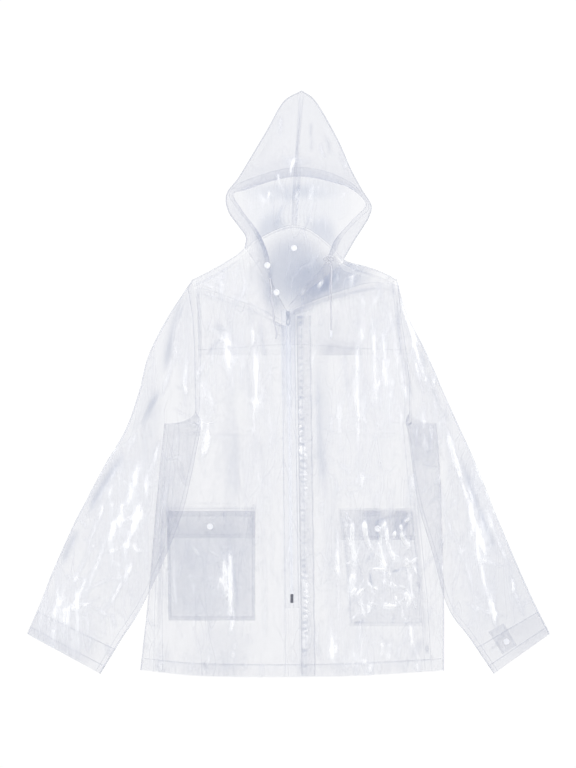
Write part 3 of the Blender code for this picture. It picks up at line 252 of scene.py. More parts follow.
# Creases of the front layers: x0 y0 x1 y1 bow width height.  Ridges are positive.
UPPER_CREASES = [
    # wearer's right front, with the crumple beside the underarm
    (-163, 23, -141, -84, -5, 3.0, 2.4), (-141, -84, -163, -146, -4, 3.0, 2.4),
    (-150, -20, -128, -95, 3, 2.4, -1.6), (-157, -60, -139, -120, 4, 2.2, 1.6),
    (-61, 85, -38, -85, 5, 5.0, 2.0), (-82, 60, -70, -60, -4, 5.0, -1.5),
    (-108, 120, -95, -40, 8, 7.0, 1.6), (-50, 40, -60, -200, 6, 4.0, 1.6),
    (-120, 100, -140, 20, 3, 4.0, 1.4), (-92, -60, -86, -230, 5, 9.0, -1.8),
    (-34, 60, -30, -100, 3, 3.0, 1.0), (-70, -80, -40, -105, 3, 2.5, 1.2),
    (-62, -130, -46, -190, 2, 2.5, 1.2), (-78, -20, -52, -44, 2, 2.2, 1.2),
    (-152, 120, -90, 60, 8, 5.0, 1.8), (-138, 85, -80, 35, -6, 4.0, -1.4),
    (-110, -250, -96, -480, 4, 6.0, 1.6), (-48, -260, -44, -490, -3, 4.0, 1.3),
    (-240, -440, -236, -512, 2, 4.0, 1.6), (-222, -470, -214, -514, 2, 3.0, -1.2),
    # wearer's left front, with its long fine creases
    (125, 129, 127, -174, 3, 2.6, 1.7), (149, 140, 156, -80, -3, 2.6, 1.6),
    (167, 129, 185, -84, 4, 2.8, 1.7), (181, 158, 226, -70, 8, 3.2, 2.0),
    (100, 90, 112, -60, 3, 3.4, -1.4), (138, 60, 140, -140, 2, 2.4, -1.2),
    (112, 20, 128, -110, -3, 2.4, 1.2), (158, -100, 172, -160, 3, 2.2, 1.4),
    (172, -100, 166, -165, 3, 2.2, 1.2), (150, -60, 175, -88, 2, 2.0, 1.3),
    (55, 60, 74, -230, 8, 8.0, -2.0), (92, 0, 100, -190, 4, 5.0, 1.6),
    (46, 30, 50, -120, 2, 3.0, 1.3), (60, -90, 84, -110, 2, 2.4, 1.2),
    (196, 20, 212, -150, 4, 3.0, 1.6), (205, 70, 228, -40, 3, 3.0, -1.3),
    (88, -232, 98, -490, 4, 3.4, 2.2), (98, -250, 110, -470, -3, 3.0, -1.8),
    (72, -380, 84, -520, 3, 4.0, 1.6), (262, -300, 270, -505, 3, 4.0, 1.4),
    (246, -240, 258, -420, 2, 3.0, 1.5), (120, -455, 200, -470, 6, 3.0, 1.4),
    (215, -420, 236, -500, 3, 3.0, 1.6),
    # the packing crease across the body
    (-205, -88, -40, -86, 1, 1.6, 1.1), (24, -87, 215, -92, -2, 1.6, 1.1),
    (-200, -93, -60, -92, 1, 1.6, -0.9), (60, -94, 200, -97, -1, 1.6, -0.9),
    (-190, -214, -70, -212, 2, 1.8, 0.7), (60, -60, 150, -58, 1, 1.4, 0.7),
    # yokes and shoulders
    (-165, 176, -118, 150, 4, 3.0, 1.6), (-130, 205, -100, 140, 5, 5.0, 1.8),
    (-96, 226, -60, 150, 5, 5.0, 1.6), (-66, 214, -40, 140, -3, 4.0, -1.4),
    (120, 205, 108, 150, 3, 5.0, 1.4), (165, 196, 150, 130, -3, 4.0, 1.6),
    (70, 195, 40, 140, 3, 4.0, 1.4), (96, 205, 60, 160, 2, 3.0, -1.2),
    # wearer's right sleeve
    (-174, 184, -222, -3, 10, 8.0, -2.6), (-222, -3, -285, -110, 4, 8.0, -2.6),
    (-285, -110, -375, -255, 3, 8.0, -2.4), (-375, -255, -411, -336, 3, 7.0, -2.0),
    (-190, 130, -206, 20, 4, 4.0, 1.6), (-246, -10, -300, -140, -4, 5.0, 2.0),
    (-225, -90, -262, -230, 6, 4.0, 1.8), (-205, -150, -238, -280, 4, 3.6, 1.6),
    (-262, -120, -330, -300, -6, 5.0, 1.6), (-250, -205, -300, -330, 6, 3.4, 1.5),
    (-300, -230, -372, -400, 4, 4.0, 1.6), (-270, -300, -345, -430, -4, 3.2, 1.5),
    (-240, -240, -330, -262, 8, 2.6, 1.3), (-262, -290, -352, -318, 7, 2.6, 1.3),
    (-285, -345, -372, -378, 6, 2.4, 1.3), (-330, -380, -420, -410, -6, 2.6, 1.3),
    (-180, 60, -186, -60, 3, 3.0, 1.5), (-205, 60, -250, -60, -6, 4.0, 1.4),
    (-352, -330, -398, -440, 4, 3.6, 1.6), (-400, -380, -440, -450, 3, 3.0, 1.3),
    # wearer's left sleeve
    (208, 158, 284, -77, 10, 4.0, 2.4), (284, -77, 314, -176, 2, 4.0, 2.6),
    (314, -176, 363, -328, 3, 4.0, 2.6), (363, -328, 379, -458, 4, 4.0, 2.2),
    (230, 110, 300, -90, 12, 6.0, -1.8), (300, -100, 390, -330, 6, 7.0, -2.0),
    (226, -48, 262, -92, 4, 2.2, 2.0), (240, -66, 256, -128, 3, 2.2, 1.8),
    (228, -96, 268, -120, 4, 2.0, 1.8), (244, -120, 280, -100, 3, 2.0, 1.6),
    (236, -140, 274, -150, 3, 2.2, 1.6), (224, 60, 250, -30, 4, 3.0, 1.5),
    (270, -160, 300, -290, 4, 4.0, 1.6), (292, -260, 340, -400, -4, 4.0, 1.6),
    (350, -210, 410, -350, 4, 4.0, 1.6), (395, -330, 430, -430, 3, 3.6, 1.4),
    (320, -300, 400, -330, 6, 2.6, 1.2), (310, -390, 400, -420, 5, 2.6, 1.3),
    # hood: brim, crown and the glints beside the centre seam
    (-76, 352, 14, 382, 4, 6.0, 1.4), (14, 382, 126, 350, 4, 6.0, 1.4),
    (-3, 410, 34, 402, 3, 1.8, 1.2), (0, 402, 38, 396, 3, 1.6, 1.1),
    (-2, 395, 24, 389, 2, 1.6, 1.0), (24, 410, 41, 398, 2, 1.8, 1.0),
    (-30, 470, -58, 400, 3, 8.0, -1.6), (60, 480, 92, 400, 3, 8.0, -1.6),
    (-60, 240, -44, 190, 3, 4.0, 1.4), (90, 240, 66, 196, 3, 4.0, 1.4),
]


def scattered(seed, count, box, angle, spread, lengths, widths, heights):
    """Seeded small creases in a box (x0, x1, y0, y1), about an angle in degrees from +Y."""
    rng = np.random.default_rng(seed)
    rows = []
    for _ in range(count):
        x, y = rng.uniform(box[0], box[1]), rng.uniform(box[2], box[3])
        turn = math.radians(angle + rng.normal() * spread)
        half = rng.uniform(*lengths) / 2
        dx, dy = half * math.sin(turn), half * math.cos(turn)
        width = rng.uniform(*widths)
        sign = 1 if rng.random() < 0.65 else -0.8
        rows.append((x - dx, y - dy, x + dx, y + dy, rng.normal() * half * 0.12, width,
                     sign * 1.5 * rng.uniform(*heights)))
    return rows


def value_noise(x, y, seed):
    """Smooth noise from -1 to 1 on a lattice of unit cells."""
    lattice = np.random.default_rng(int(seed)).uniform(-1, 1, (96, 96))
    i, j = np.floor(x).astype(int), np.floor(y).astype(int)
    u, v = smooth(x - i), smooth(y - j)
    low = mix(lattice[i % 96, j % 96], lattice[(i + 1) % 96, j % 96], u)
    high = mix(lattice[i % 96, (j + 1) % 96], lattice[(i + 1) % 96, (j + 1) % 96], u)
    return mix(low, high, v)


# Where the film is crumpled: x y half_width half_height amount
CRUMPLED = {
    "upper": ((-150, -60, 34, 110, 1.0), (-70, 60, 60, 90, 0.5), (-60, -150, 60, 140, 0.35),
              (160, 40, 70, 190, 0.6), (90, -380, 30, 140, 1.0), (250, -90, 40, 60, 1.1),
              (-290, -250, 80, 150, 0.6), (-400, -410, 70, 60, 0.6), (330, -260, 60, 180, 0.45),
              (-150, -505, 130, 26, 0.8), (160, -500, 130, 30, 0.9), (-90, 175, 70, 50, 0.5),
              (110, 180, 60, 40, 0.5), (10, 400, 60, 20, 0.4)),
    "lower": ((0, -200, 300, 330, 0.4), (-330, -250, 120, 240, 0.5), (330, -250, 120, 240, 0.5),
              (10, 330, 110, 70, 0.8), (0, 180, 160, 90, 0.5)),
    "pocket_right": ((-140, -330, 90, 110, 0.35), (-110, -350, 24, 90, 0.9)),
    "pocket_left": ((165, -330, 90, 110, 1.4),)}


def ellipse(x, y, at_x, at_y, half_width, half_height):
    """Distance from the middle of an ellipse, 1 on its outline."""
    return np.sqrt(((x - at_x) / half_width) ** 2 + ((y - at_y) / half_height) ** 2)


def crumple(field, x, y):
    """Fine connected creases where CRUMPLED says, from 0 to 1 along their crests."""
    amount = np.zeros(x.shape)
    for *spot, much in CRUMPLED[field]:
        amount = np.maximum(amount, much * smooth(1.4 - ellipse(x, y, *spot)))
    seed = 50 + len(field)
    lean = 0.35 * np.clip(x / 300.0, -1, 1)
    across, along = x - lean * y, y + lean * x
    bend = 5.0 * value_noise(across / 34.0, along / 40.0, seed + 3)
    total = 0.0
    for size, share in ((15.0, 0.62), (7.5, 0.38)):
        wave = value_noise((across + bend) / size, (along - bend) / (2.1 * size), seed + size)
        total = total + share * np.exp(-abs(wave) / 0.13)
    return amount * total


def creases(rows, x, y):
    """Height that soft ridges and troughs add at points in plan."""
    total = np.zeros(x.shape)
    for x0, y0, x1, y1, bow, width, height in rows:
        dx, dy = x1 - x0, y1 - y0
        length = math.hypot(dx, dy)
        reach = 4.5 * width + abs(bow)
        near = ((x > min(x0, x1) - reach) & (x < max(x0, x1) + reach)
                & (y > min(y0, y1) - reach) & (y < max(y0, y1) + reach))
        if not near.any():
            continue
        px, py = x[near] - x0, y[near] - y0
        along = (px * dx + py * dy) / length ** 2
        across = (px * dy - py * dx) / length - bow * 4 * along * (1 - along)
        ends = smooth(along * 3) * smooth((1 - along) * 3)
        core = 0.45 * width
        total[near] += height * ends * np.exp((core - np.sqrt(across ** 2 + core ** 2))
                                              / (0.62 * width))
    return total


# Seams and folds raised as ridges, which paint() also paints white as highlights: x0 y0 x1 y1 bow
# width height
BRIGHT_LINES = [
    (-170, 183, -112, 157, -3, 3.0, 2.6), (-112, 157, -30, 117, -5, 3.0, 2.6),
    (-150, 196, -96, 168, 4, 2.8, 1.6), (-96, 168, -58, 110, -6, 2.8, 1.8),
    (-176, 178, -212, 60, 6, 2.8, 1.6), (196, 176, 250, 40, 6, 2.8, 2.0),
    (250, 40, 284, -60, 2, 2.8, 2.0), (284, -60, 330, -240, 3, 2.8, 2.2),
    (330, -240, 378, -450, 4, 2.8, 1.8), (44, 96, 46, -120, 3, 2.6, 1.2),
    (-64, 200, -44, 150, -4, 2.8, 1.8), (-58, 206, -36, 160, -4, 2.8, 1.4),
    (100, 196, 66, 150, 4, 2.8, 1.2), (226, -56, 246, -120, 5, 2.8, 2.0),
    (238, -60, 262, -100, -4, 2.8, 1.8), (-152, 10, -140, -70, -6, 2.8, 2.0),
    (-146, -70, -158, -140, -5, 2.8, 2.0), (-300, -150, -372, -330, 5, 2.8, 1.4),
    (-330, -260, -402, -400, 6, 2.8, 1.2), (-250, -190, -290, -290, 5, 2.8, 1.2)]
# Seams that show as thin darker lines, which only paint() reads
DARK_SEAMS = [
    (24, 526, 11.5, 374, 0, 1.4, -1.8), (-160, 20, -166, 180, 2, 2.6, -2.0),
    (204, 20, 196, 180, -2, 2.6, -2.0), (-222, -80, -236, -510, 0, 2.6, -1.6),
    (223, -165, 250, -510, 0, 2.6, -1.6), (2, 126, 190, 176, -8, 2.8, -2.0)]
# All creases of the layers on top, and of those on the ground
UPPER = UPPER_CREASES + BRIGHT_LINES + (
    scattered(11, 60, (-225, -20, -480, 130), -6, 16, (18, 70), (1.6, 3.4), (0.3, 0.9))
    + scattered(12, 95, (20, 250, -480, 150), 6, 14, (18, 80), (1.4, 3.2), (0.3, 1.0))
    + scattered(13, 60, (-440, -180, -480, 60), -28, 22, (16, 60), (1.6, 3.4), (0.3, 1.0))
    + scattered(14, 55, (225, 450, -480, 60), 24, 20, (16, 60), (1.6, 3.4), (0.3, 1.0))
    + scattered(15, 34, (-150, 190, 120, 240), 10, 40, (14, 44), (1.6, 3.2), (0.3, 0.9))
    + scattered(16, 26, (-262, -30, -518, -470), 4, 18, (14, 36), (1.6, 3.0), (0.5, 1.2))
    + scattered(17, 34, (20, 272, -518, -470), -4, 18, (14, 36), (1.6, 3.0), (0.5, 1.3))
    + scattered(18, 16, (-60, 110, 370, 500), 0, 40, (16, 40), (2.0, 5.0), (0.2, 0.6)))
LOWER = (
    scattered(21, 120, (-240, 265, -500, 230), 4, 22, (30, 120), (2.4, 6.0), (0.4, 1.5))
    + scattered(22, 50, (-440, -180, -480, 60), -28, 20, (20, 80), (2.0, 4.0), (0.3, 0.9))
    + scattered(23, 50, (225, 450, -480, 60), 24, 20, (20, 80), (2.0, 4.0), (0.3, 0.9))
    + scattered(24, 26, (-90, 130, 285, 480), 8, 24, (20, 70), (2.0, 4.5), (0.4, 1.4)))
POCKET_CREASES = {
    RIGHT: [(-117, -300, -99, -425, 5, 3.0, 3.0), (-108, -300, -92, -420, -4, 2.6, -1.6),
            (-176, -282, -150, -316, 4, 2.4, 1.4), (-160, -280, -140, -330, 3, 2.4, 1.2),
            (-150, -292, -118, -312, 3, 2.0, 1.2), (-140, -330, -128, -410, 3, 5.0, 1.2),
            (-206, -300, -200, -410, 2, 4.0, 1.2), (-190, -340, -110, -352, 4, 3.0, 0.9)]
    + scattered(31, 22, (-214, -64, -424, -236), 4, 30, (14, 44), (1.6, 3.0), (0.3, 0.8)),
    LEFT: [(117, -236, 122, -330, 5, 3.0, 2.6), (122, -330, 108, -410, 4, 3.2, 2.2),
           (136, -240, 150, -300, 4, 2.6, 2.2), (150, -300, 176, -340, -5, 2.6, 2.4),
           (160, -242, 168, -300, 3, 2.4, -1.6), (176, -250, 196, -330, 5, 3.0, 2.2),
           (200, -262, 226, -300, 4, 2.6, 1.8), (205, -310, 232, -350, -4, 2.6, 1.8),
           (130, -350, 172, -372, 5, 2.6, 2.0), (168, -352, 220, -368, 4, 2.6, 1.8),
           (140, -392, 214, -396, 6, 3.0, 1.8), (222, -330, 230, -410, 3, 2.6, 1.8),
           (128, -372, 140, -426, 3, 2.6, 1.6), (190, -380, 206, -428, -3, 2.6, 1.6),
           (104, -250, 112, -300, 2, 2.4, 1.6), (146, -330, 158, -384, 3, 2.4, -1.4)]
    + scattered(32, 60, (98, 238, -430, -236), 10, 44, (12, 46), (1.4, 2.8), (0.5, 1.5))}


# Surfaces

def armhole(side, y):
    return ARMHOLE.straight(WORDS[side], y)


def body_edge(side, y):
    return BODY.at("left" if side == RIGHT else "right", y)


def side_seam(side, y):
    return BODY.at("seam_" + WORDS[side], y)


def boundary(side, y, lower):
    y = np.asarray(y, float)
    q = np.clip((ARM_ARC_TOP - y) / (ARM_ARC_TOP - ARM_BOTTOM), 0.0, 1.0)
    arc = mix(armhole(side, ARM_ARC_TOP), lower(side, ARM_BOTTOM), 1 - np.sqrt(1 - q * q))
    return np.where(y <= ARM_BOTTOM, lower(side, y),
                    np.where(y >= ARM_ARC_TOP, armhole(side, y), arc))


def fold_tangent(side, y):
    return body_edge(side, y) - side * LOFT / 2


def back_side(side, y):
    return boundary(side, y, fold_tangent)


def tuck(y):
    return smooth((TUCK_START - y) / TUCK_LENGTH)


def lift(x, y):
    total = 0.0
    for side in (RIGHT, LEFT):
        past = side * (x - INNER_EDGE[side].at("x", y)) + TUCK_CLEAR + TUCK_RAMP
        total = total + smooth(past / TUCK_RAMP)
    return tuck(y) * total * (FLAT_SLEEVE + LAYER)


def plain_back(x, y):
    over_cape = smooth((y - CAPE_HEM_Y + CAPE_RAMP) / (CAPE_RAMP - 2.0))
    return FLOOR + lift(x, y) + LAYER * over_cape


def back_height(x, y):
    """Height of the back, whose creases fade under the sleeves and at the neck."""
    held = (1 - 0.8 * np.clip(lift(x, y) / LAYER, 0, 1)) * (1 - 0.85 * smooth((y - 150) / 40))
    bend = np.maximum(creases(LOWER, x, y), -0.25) + 0.7 * crumple("lower", x, y)
    return plain_back(x, y) + bend * held


def plain_front(x, y):
    inset = np.minimum(x - back_side(RIGHT, y), back_side(LEFT, y) - x)
    crown = smooth(inset / CROWN_WIDTH) * smooth((TOP.at("y", x) - y - LOFT / 2) / 70.0)
    total = FLOOR + LOFT + lift(x, y) + CROWN * crown
    for top_x, top_y, bottom_x, bottom_y, half_width, height in FRONT_FOLD:
        f = (top_y - y) / (top_y - bottom_y)
        across = abs(x - mix(top_x, bottom_x, f)) / half_width
        ends = smooth((top_y - y) / 60.0) * smooth((y - bottom_y) / 60.0)
        total = total + height * smooth(1 - across) * ends
    return total


def under_patch(x, y):
    """1 well inside a pocket's outline, 0 outside."""
    total = np.zeros(x.shape)
    for side in (RIGHT, LEFT):
        table = POCKET[side]
        inside = np.minimum(np.minimum(x - table.at("left", y), table.at("right", y) - x),
                            np.minimum(y - table.rows[0][0], table.rows[-1][0] + 6 - y))
        total += smooth(inside / 10.0 + 0.6)
    return np.clip(total, 0, 1)


def front_height(x, y):
    """Height of the fronts, whose creases fade under the pockets and along the zip."""
    held = 1 - 0.75 * under_patch(x, y)
    closure = 1 - 0.9 * smooth((46.0 - abs(x - zip_x(y) - 13.0)) / 12.0)
    bend = upper_bend(x, y) * held * np.where(y < 150, closure, 1.0)
    return plain_front(x, y) + bend


def upper_bend(x, y):
    return 1.35 * creases(UPPER, x, y) + 1.3 * crumple("upper", x, y)


def zip_x(y):
    return mix(6.0, -1.0, (y - ZIP_END_Y) / (ZIP_TOP_Y - ZIP_END_Y))


def hem_y(x, y):
    return y + (HEM.at("y", x) - HEM_Y) * smooth((HEM_CURVE_TOP - y) / (HEM_CURVE_TOP - HEM_Y))


def stack(x, y, z):
    return np.stack(np.broadcast_arrays(x, y, z), -1)


def spaced(low, high, step):
    return np.linspace(low, high, max(2, int(abs(high - low) / step) + 1))


def row_at(rows, value):
    """Index of the row whose value is nearest."""
    return int(np.argmin(abs(rows[:, 0] - value)))


def level(directions):
    """Directions in plan as level directions in space."""
    return np.concatenate([directions, np.zeros((len(directions), 1))], 1)


def half_turn(start, end_z, direction, steps=8):
    """Points between start and the point under it, round a half circle (..., steps - 1, 3)."""
    radius = ((start[..., 2] - end_z) / 2)[..., None]
    angle = np.pi * np.arange(1, steps) / steps
    out = radius * np.sin(angle)
    x = start[..., 0, None] + direction[..., 0, None] * out
    y = start[..., 1, None] + direction[..., 1, None] * out
    z = start[..., 2, None] - radius + radius * np.cos(angle)
    return np.stack([x, y, z], -1)


# Meshes

def shell(points, closed=False, thickness=FILM):
    """Vertices and faces of a thin closed shell on a grid of points; NaN where there is none."""
    rows, columns = points.shape[:2]
    index = np.arange(rows * columns).reshape(rows, columns)
    right = np.roll(index, -1, axis=1) if closed else index[:, 1:]
    left = index if closed else index[:, :-1]
    quads = np.stack([left[:-1], right[:-1], right[1:], left[1:]], -1).reshape(-1, 4)
    flat = points.reshape(-1, 3)
    quads = quads[np.isfinite(flat[quads]).all(axis=(1, 2))]
    a, b, c, d = (flat[quads[:, k]] for k in range(4))
    face_normal = np.cross(c - a, d - b)
    normal = np.zeros_like(flat)
    for k in range(4):
        np.add.at(normal, quads[:, k], face_normal)
    used, quads = np.unique(quads, return_inverse=True)
    quads = quads.reshape(-1, 4)
    flat, normal = flat[used], unit(normal[used])
    outwards = flat[:, 2] - flat[:, 2].mean() if closed else 1.0
    if (normal[:, 2] * outwards).sum() < 0:
        normal, quads = -normal, quads[:, ::-1]
    count = len(flat)
    edges = np.concatenate([quads[:, [k, (k + 1) % 4]] for k in range(4)])
    keys = edges.min(1).astype(np.int64) * count + edges.max(1)
    _, first, seen = np.unique(keys, return_index=True, return_counts=True)
    rim = edges[first[seen == 1]]
    vertices = np.concatenate([flat + normal * thickness / 2, flat - normal * thickness / 2])
    faces = np.concatenate([
        quads, quads[:, ::-1] + count,
        np.stack([rim[:, 1], rim[:, 0], rim[:, 0] + count, rim[:, 1] + count], -1)])
    return vertices, faces


def raised(points, height, closed=False):
    """The grid moved out by a height, along its own normals (up where it lies open)."""
    if closed:
        joined = np.concatenate([points[:, -2:], points, points[:, :2]], 1)
        return raised(joined, height)[:, 2:-2]
    normal = np.cross(np.gradient(points, axis=1), np.gradient(points, axis=0))
    return points + unit(normal) * height


def band(points, height, thickness=BAND_FILM, milk=THIN, closed=False):
    """A turned hem or seam allowance, which lies a height beside these points."""
    return shell(raised(points, height, closed), closed, thickness) + (milk,)


def new_object(name, data):
    made = bpy.data.objects.new(name, data)
    bpy.context.collection.objects.link(made)
    return made


def add_mesh(name, parts, material, body="jacket", nodes=(), angle=50):
    """One object from (vertices, faces) or (vertices, faces, haze) parts in millimetres."""
    vertices = np.concatenate([part[0] for part in parts]) * MM
    starts = np.cumsum([0] + [len(part[0]) for part in parts[:-1]])
    faces = []
    for start, part in zip(starts, parts):
        if isinstance(part[1], np.ndarray):
            faces += (part[1] + start).tolist()
        else:
            faces += [[start + k for k in face] for face in part[1]]
    mesh = bpy.data.meshes.new(name)
    mesh.from_pydata(vertices.tolist(), [], faces)
    mesh.validate()
    mesh.shade_smooth()
    mesh.set_sharp_from_angle(angle=math.radians(angle))
    mesh.materials.append(material)
    milky = np.concatenate([np.full(len(part[0]), part[2] if len(part) > 2 else 0.0)
                            for part in parts])
    mesh.attributes.new("haze_and_shade", "FLOAT", "POINT").data.foreach_set("value", milky)
    made = new_object(name, mesh)
    if nodes:
        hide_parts(*nodes)
    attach(made, body)
    return made


def add_film(name, parts, material, node=None):
    return add_mesh(name + "_film", parts, material, nodes=[node or name])


# Painted looks: darker spots, then painted white sheen and highlights, each x y half_width
# half_height amount
# Less painted sheen round the neck
NECK_DULL = (14, 205, 70, 60, -0.8)
PAINT = {
    "back": (((4, 200, 56, 70, 0.13), (60, 190, 60, 34, 0.04), (-190, -250, 24, 150, 0.02),
              (225, -200, 16, 120, 0.02), (-130, -500, 60, 60, 0.02)), (NECK_DULL,)),
    "cape": (((-104, 62, 36, 20, 0.03), (92, 60, 34, 18, 0.06), (20, 205, 64, 60, 0.10),
              (64, 190, 60, 34, 0.06)), (NECK_DULL,)),
    "front_right": (
        ((-110, -470, 50, 40, 0.03), (-104, -150, 12, 190, 0.035), (-12, 120, 16, 40, 0.07)),
        ((-70, 60, 50, 60, 0.35), (-50, -130, 30, 130, 0.3), (-150, -60, 14, 70, 0.5))),
    "front_left": (
        ((62, -60, 14, 130, 0.035), (80, -300, 12, 120, 0.03), (70, 90, 26, 40, 0.035),
         (10, 120, 16, 40, 0.07)),
        ((150, 40, 50, 140, 0.3), (130, -480, 90, 40, 0.35), (40, 10, 14, 130, 0.2))),
    "yoke": (((84, 192, 60, 30, 0.13), (40, 165, 34, 34, 0.08), (-26, 175, 20, 60, 0.10)),
             ((-110, 180, 46, 30, 0.6),)),
    "sleeve_right": (
        ((-196, -200, 40, 120, -0.02), (-250, -60, 20, 90, 0.02)),
        ((-280, -250, 70, 130, 0.35), (-410, -440, 60, 60, 0.5), (-185, 60, 16, 90, 0.2))),
    "sleeve_left": (((240, -180, 40, 120, -0.02), (420, -380, 60, 90, 0.02)),
                    ((250, -90, 26, 50, 0.5), (345, -260, 26, 170, 0.3))),
    "hood": (((10, 320, 90, 70, 0.05), (-10, 345, 60, 14, 0.05), (-30, 262, 26, 40, 0.12),
              (60, 262, 26, 34, 0.10), (60, 350, 40, 16, 0.04)),
             ((10, 400, 26, 6, 0.3), (60, 330, 50, 40, 0.25), (-50, 325, 40, 30, 0.2))),
    "pocket_right": (((-150, -290, 70, 40, 0.03), (-165, -370, 34, 60, 0.03),
                      (-84, -350, 18, 70, 0.02), (-150, -440, 70, 24, -0.03)),
                     ((-108, -360, 8, 60, 0.9), (-150, -410, 60, 16, 0.2))),
    "pocket_left": (((150, -254, 20, 30, 0.05), (200, -254, 16, 26, 0.06)),
                    ((160, -350, 70, 80, 0.4),)),
    "wind_flap": (((28, 20, 16, 90, 0.05),), ()),
    "zip_tape": (((-1, 50, 20, 80, 0.12),), ()),
    "cuff_tab": ((), ())}


def paint(piece, look, field=None, rows=(), base=0.0):
    """Writes how milky the film is at each point, with darker seam lines and painted shade in
    crease troughs, and how white it is, from crease whitening and painted highlights and sheen.
    """
    mesh = piece.data
    count = len(mesh.vertices)
    co = np.empty(count * 3)
    mesh.vertices.foreach_get("co", co)
    x, y = (co.reshape(-1, 3)[:, k] / MM for k in (0, 1))
    haze_and_shade = np.empty(count)
    mesh.attributes["haze_and_shade"].data.foreach_get("value", haze_and_shade)
    haze_and_shade += base
    white = np.zeros(count)
    for values, spots in zip((haze_and_shade, white), PAINT[look]):
        for *spot, amount in spots:
            values += amount * smooth(1.5 - ellipse(x, y, *spot))
    # Ridges whiten, partly as real crease whitening and partly as painted highlight; crumpled film
    # gets painted sheen; troughs get painted shade, and the rows of DARK_SEAMS their darker seam
    # lines.
    whitening_and_painted_sheen = creases(rows, x, y)
    if field:
        white += 0.5 * crumple(field, x, y)
    white += 0.42 * np.maximum(whitening_and_painted_sheen, 0)
    haze_and_shade += 0.035 * np.maximum(-whitening_and_painted_sheen, 0)
    mesh.attributes["haze_and_shade"].data.foreach_set("value", haze_and_shade)
    mesh.attributes.new("white", "FLOAT", "POINT").data.foreach_set("value", np.clip(white, 0, 1))


def ring_faces(count, segments, outwards=True):
    """Faces round a row of rings, with both ends capped."""
    last = (count - 1) * segments
    faces = [list(range(segments)), list(range(last, last + segments))]
    faces[0 if outwards else 1].reverse()
    for a in range(0, last, segments):
        for j in range(segments):
            n = (j + 1) % segments
            face = [a + j, a + n, a + segments + n, a + segments + j]
            faces.append(face if outwards else [face[0]] + face[:0:-1])
    return faces


def distances(line):
    """How far along a line of points each of them is."""
    return np.concatenate([[0], np.cumsum(np.linalg.norm(np.diff(line, axis=0), axis=1))])


def along_line(line, at, places):
    """The points at some distances along a line, whose own points are at distances at."""
    return np.stack([np.interp(places, at, line[:, k]) for k in range(3)], -1)


THREADS = {"body": [], "sleeves": [], "hood": [], "pockets": []}
FINE_STITCH = {"pitch": 3.0, "length": 2.2}
STITCH_RINGS = ((-0.5, 0.25), (-0.28, 1.0), (0.28, 1.0), (0.5, 0.25))      # place, share of width


def sew(group, line, pitch=3.4, length=2.5, width=0.42):
    """Adds stitches along a line of points that lies on the film's outer side."""
    line = np.asarray(line, float)
    at = distances(line)
    count = max(1, int(at[-1] / pitch))
    middles = (np.arange(count) + 0.5) * at[-1] / count
    ring = ((-width, 0.0), (0.0, 0.38), (width, 0.0), (0.0, -0.2))
    starts = along_line(line, at, middles - length / 2)
    stops = along_line(line, at, middles + length / 2)
    along = stops - starts
    side = unit(np.cross(along, [0.0, 0.0, 1.0]))
    up = np.cross(side, unit(along))
    middle = (starts + stops) / 2
    vertices = np.stack([middle + along * place + (side * a + up * (b + 0.25)) * wide
                         for place, wide in STITCH_RINGS for a, b in ring], 1)
    faces = np.array(ring_faces(len(STITCH_RINGS), len(ring)))
    every = (faces[None] + vertices.shape[1] * np.arange(count)[:, None, None]).reshape(-1, 4)
    THREADS[group].append((vertices.reshape(-1, 3), every))


# Materials

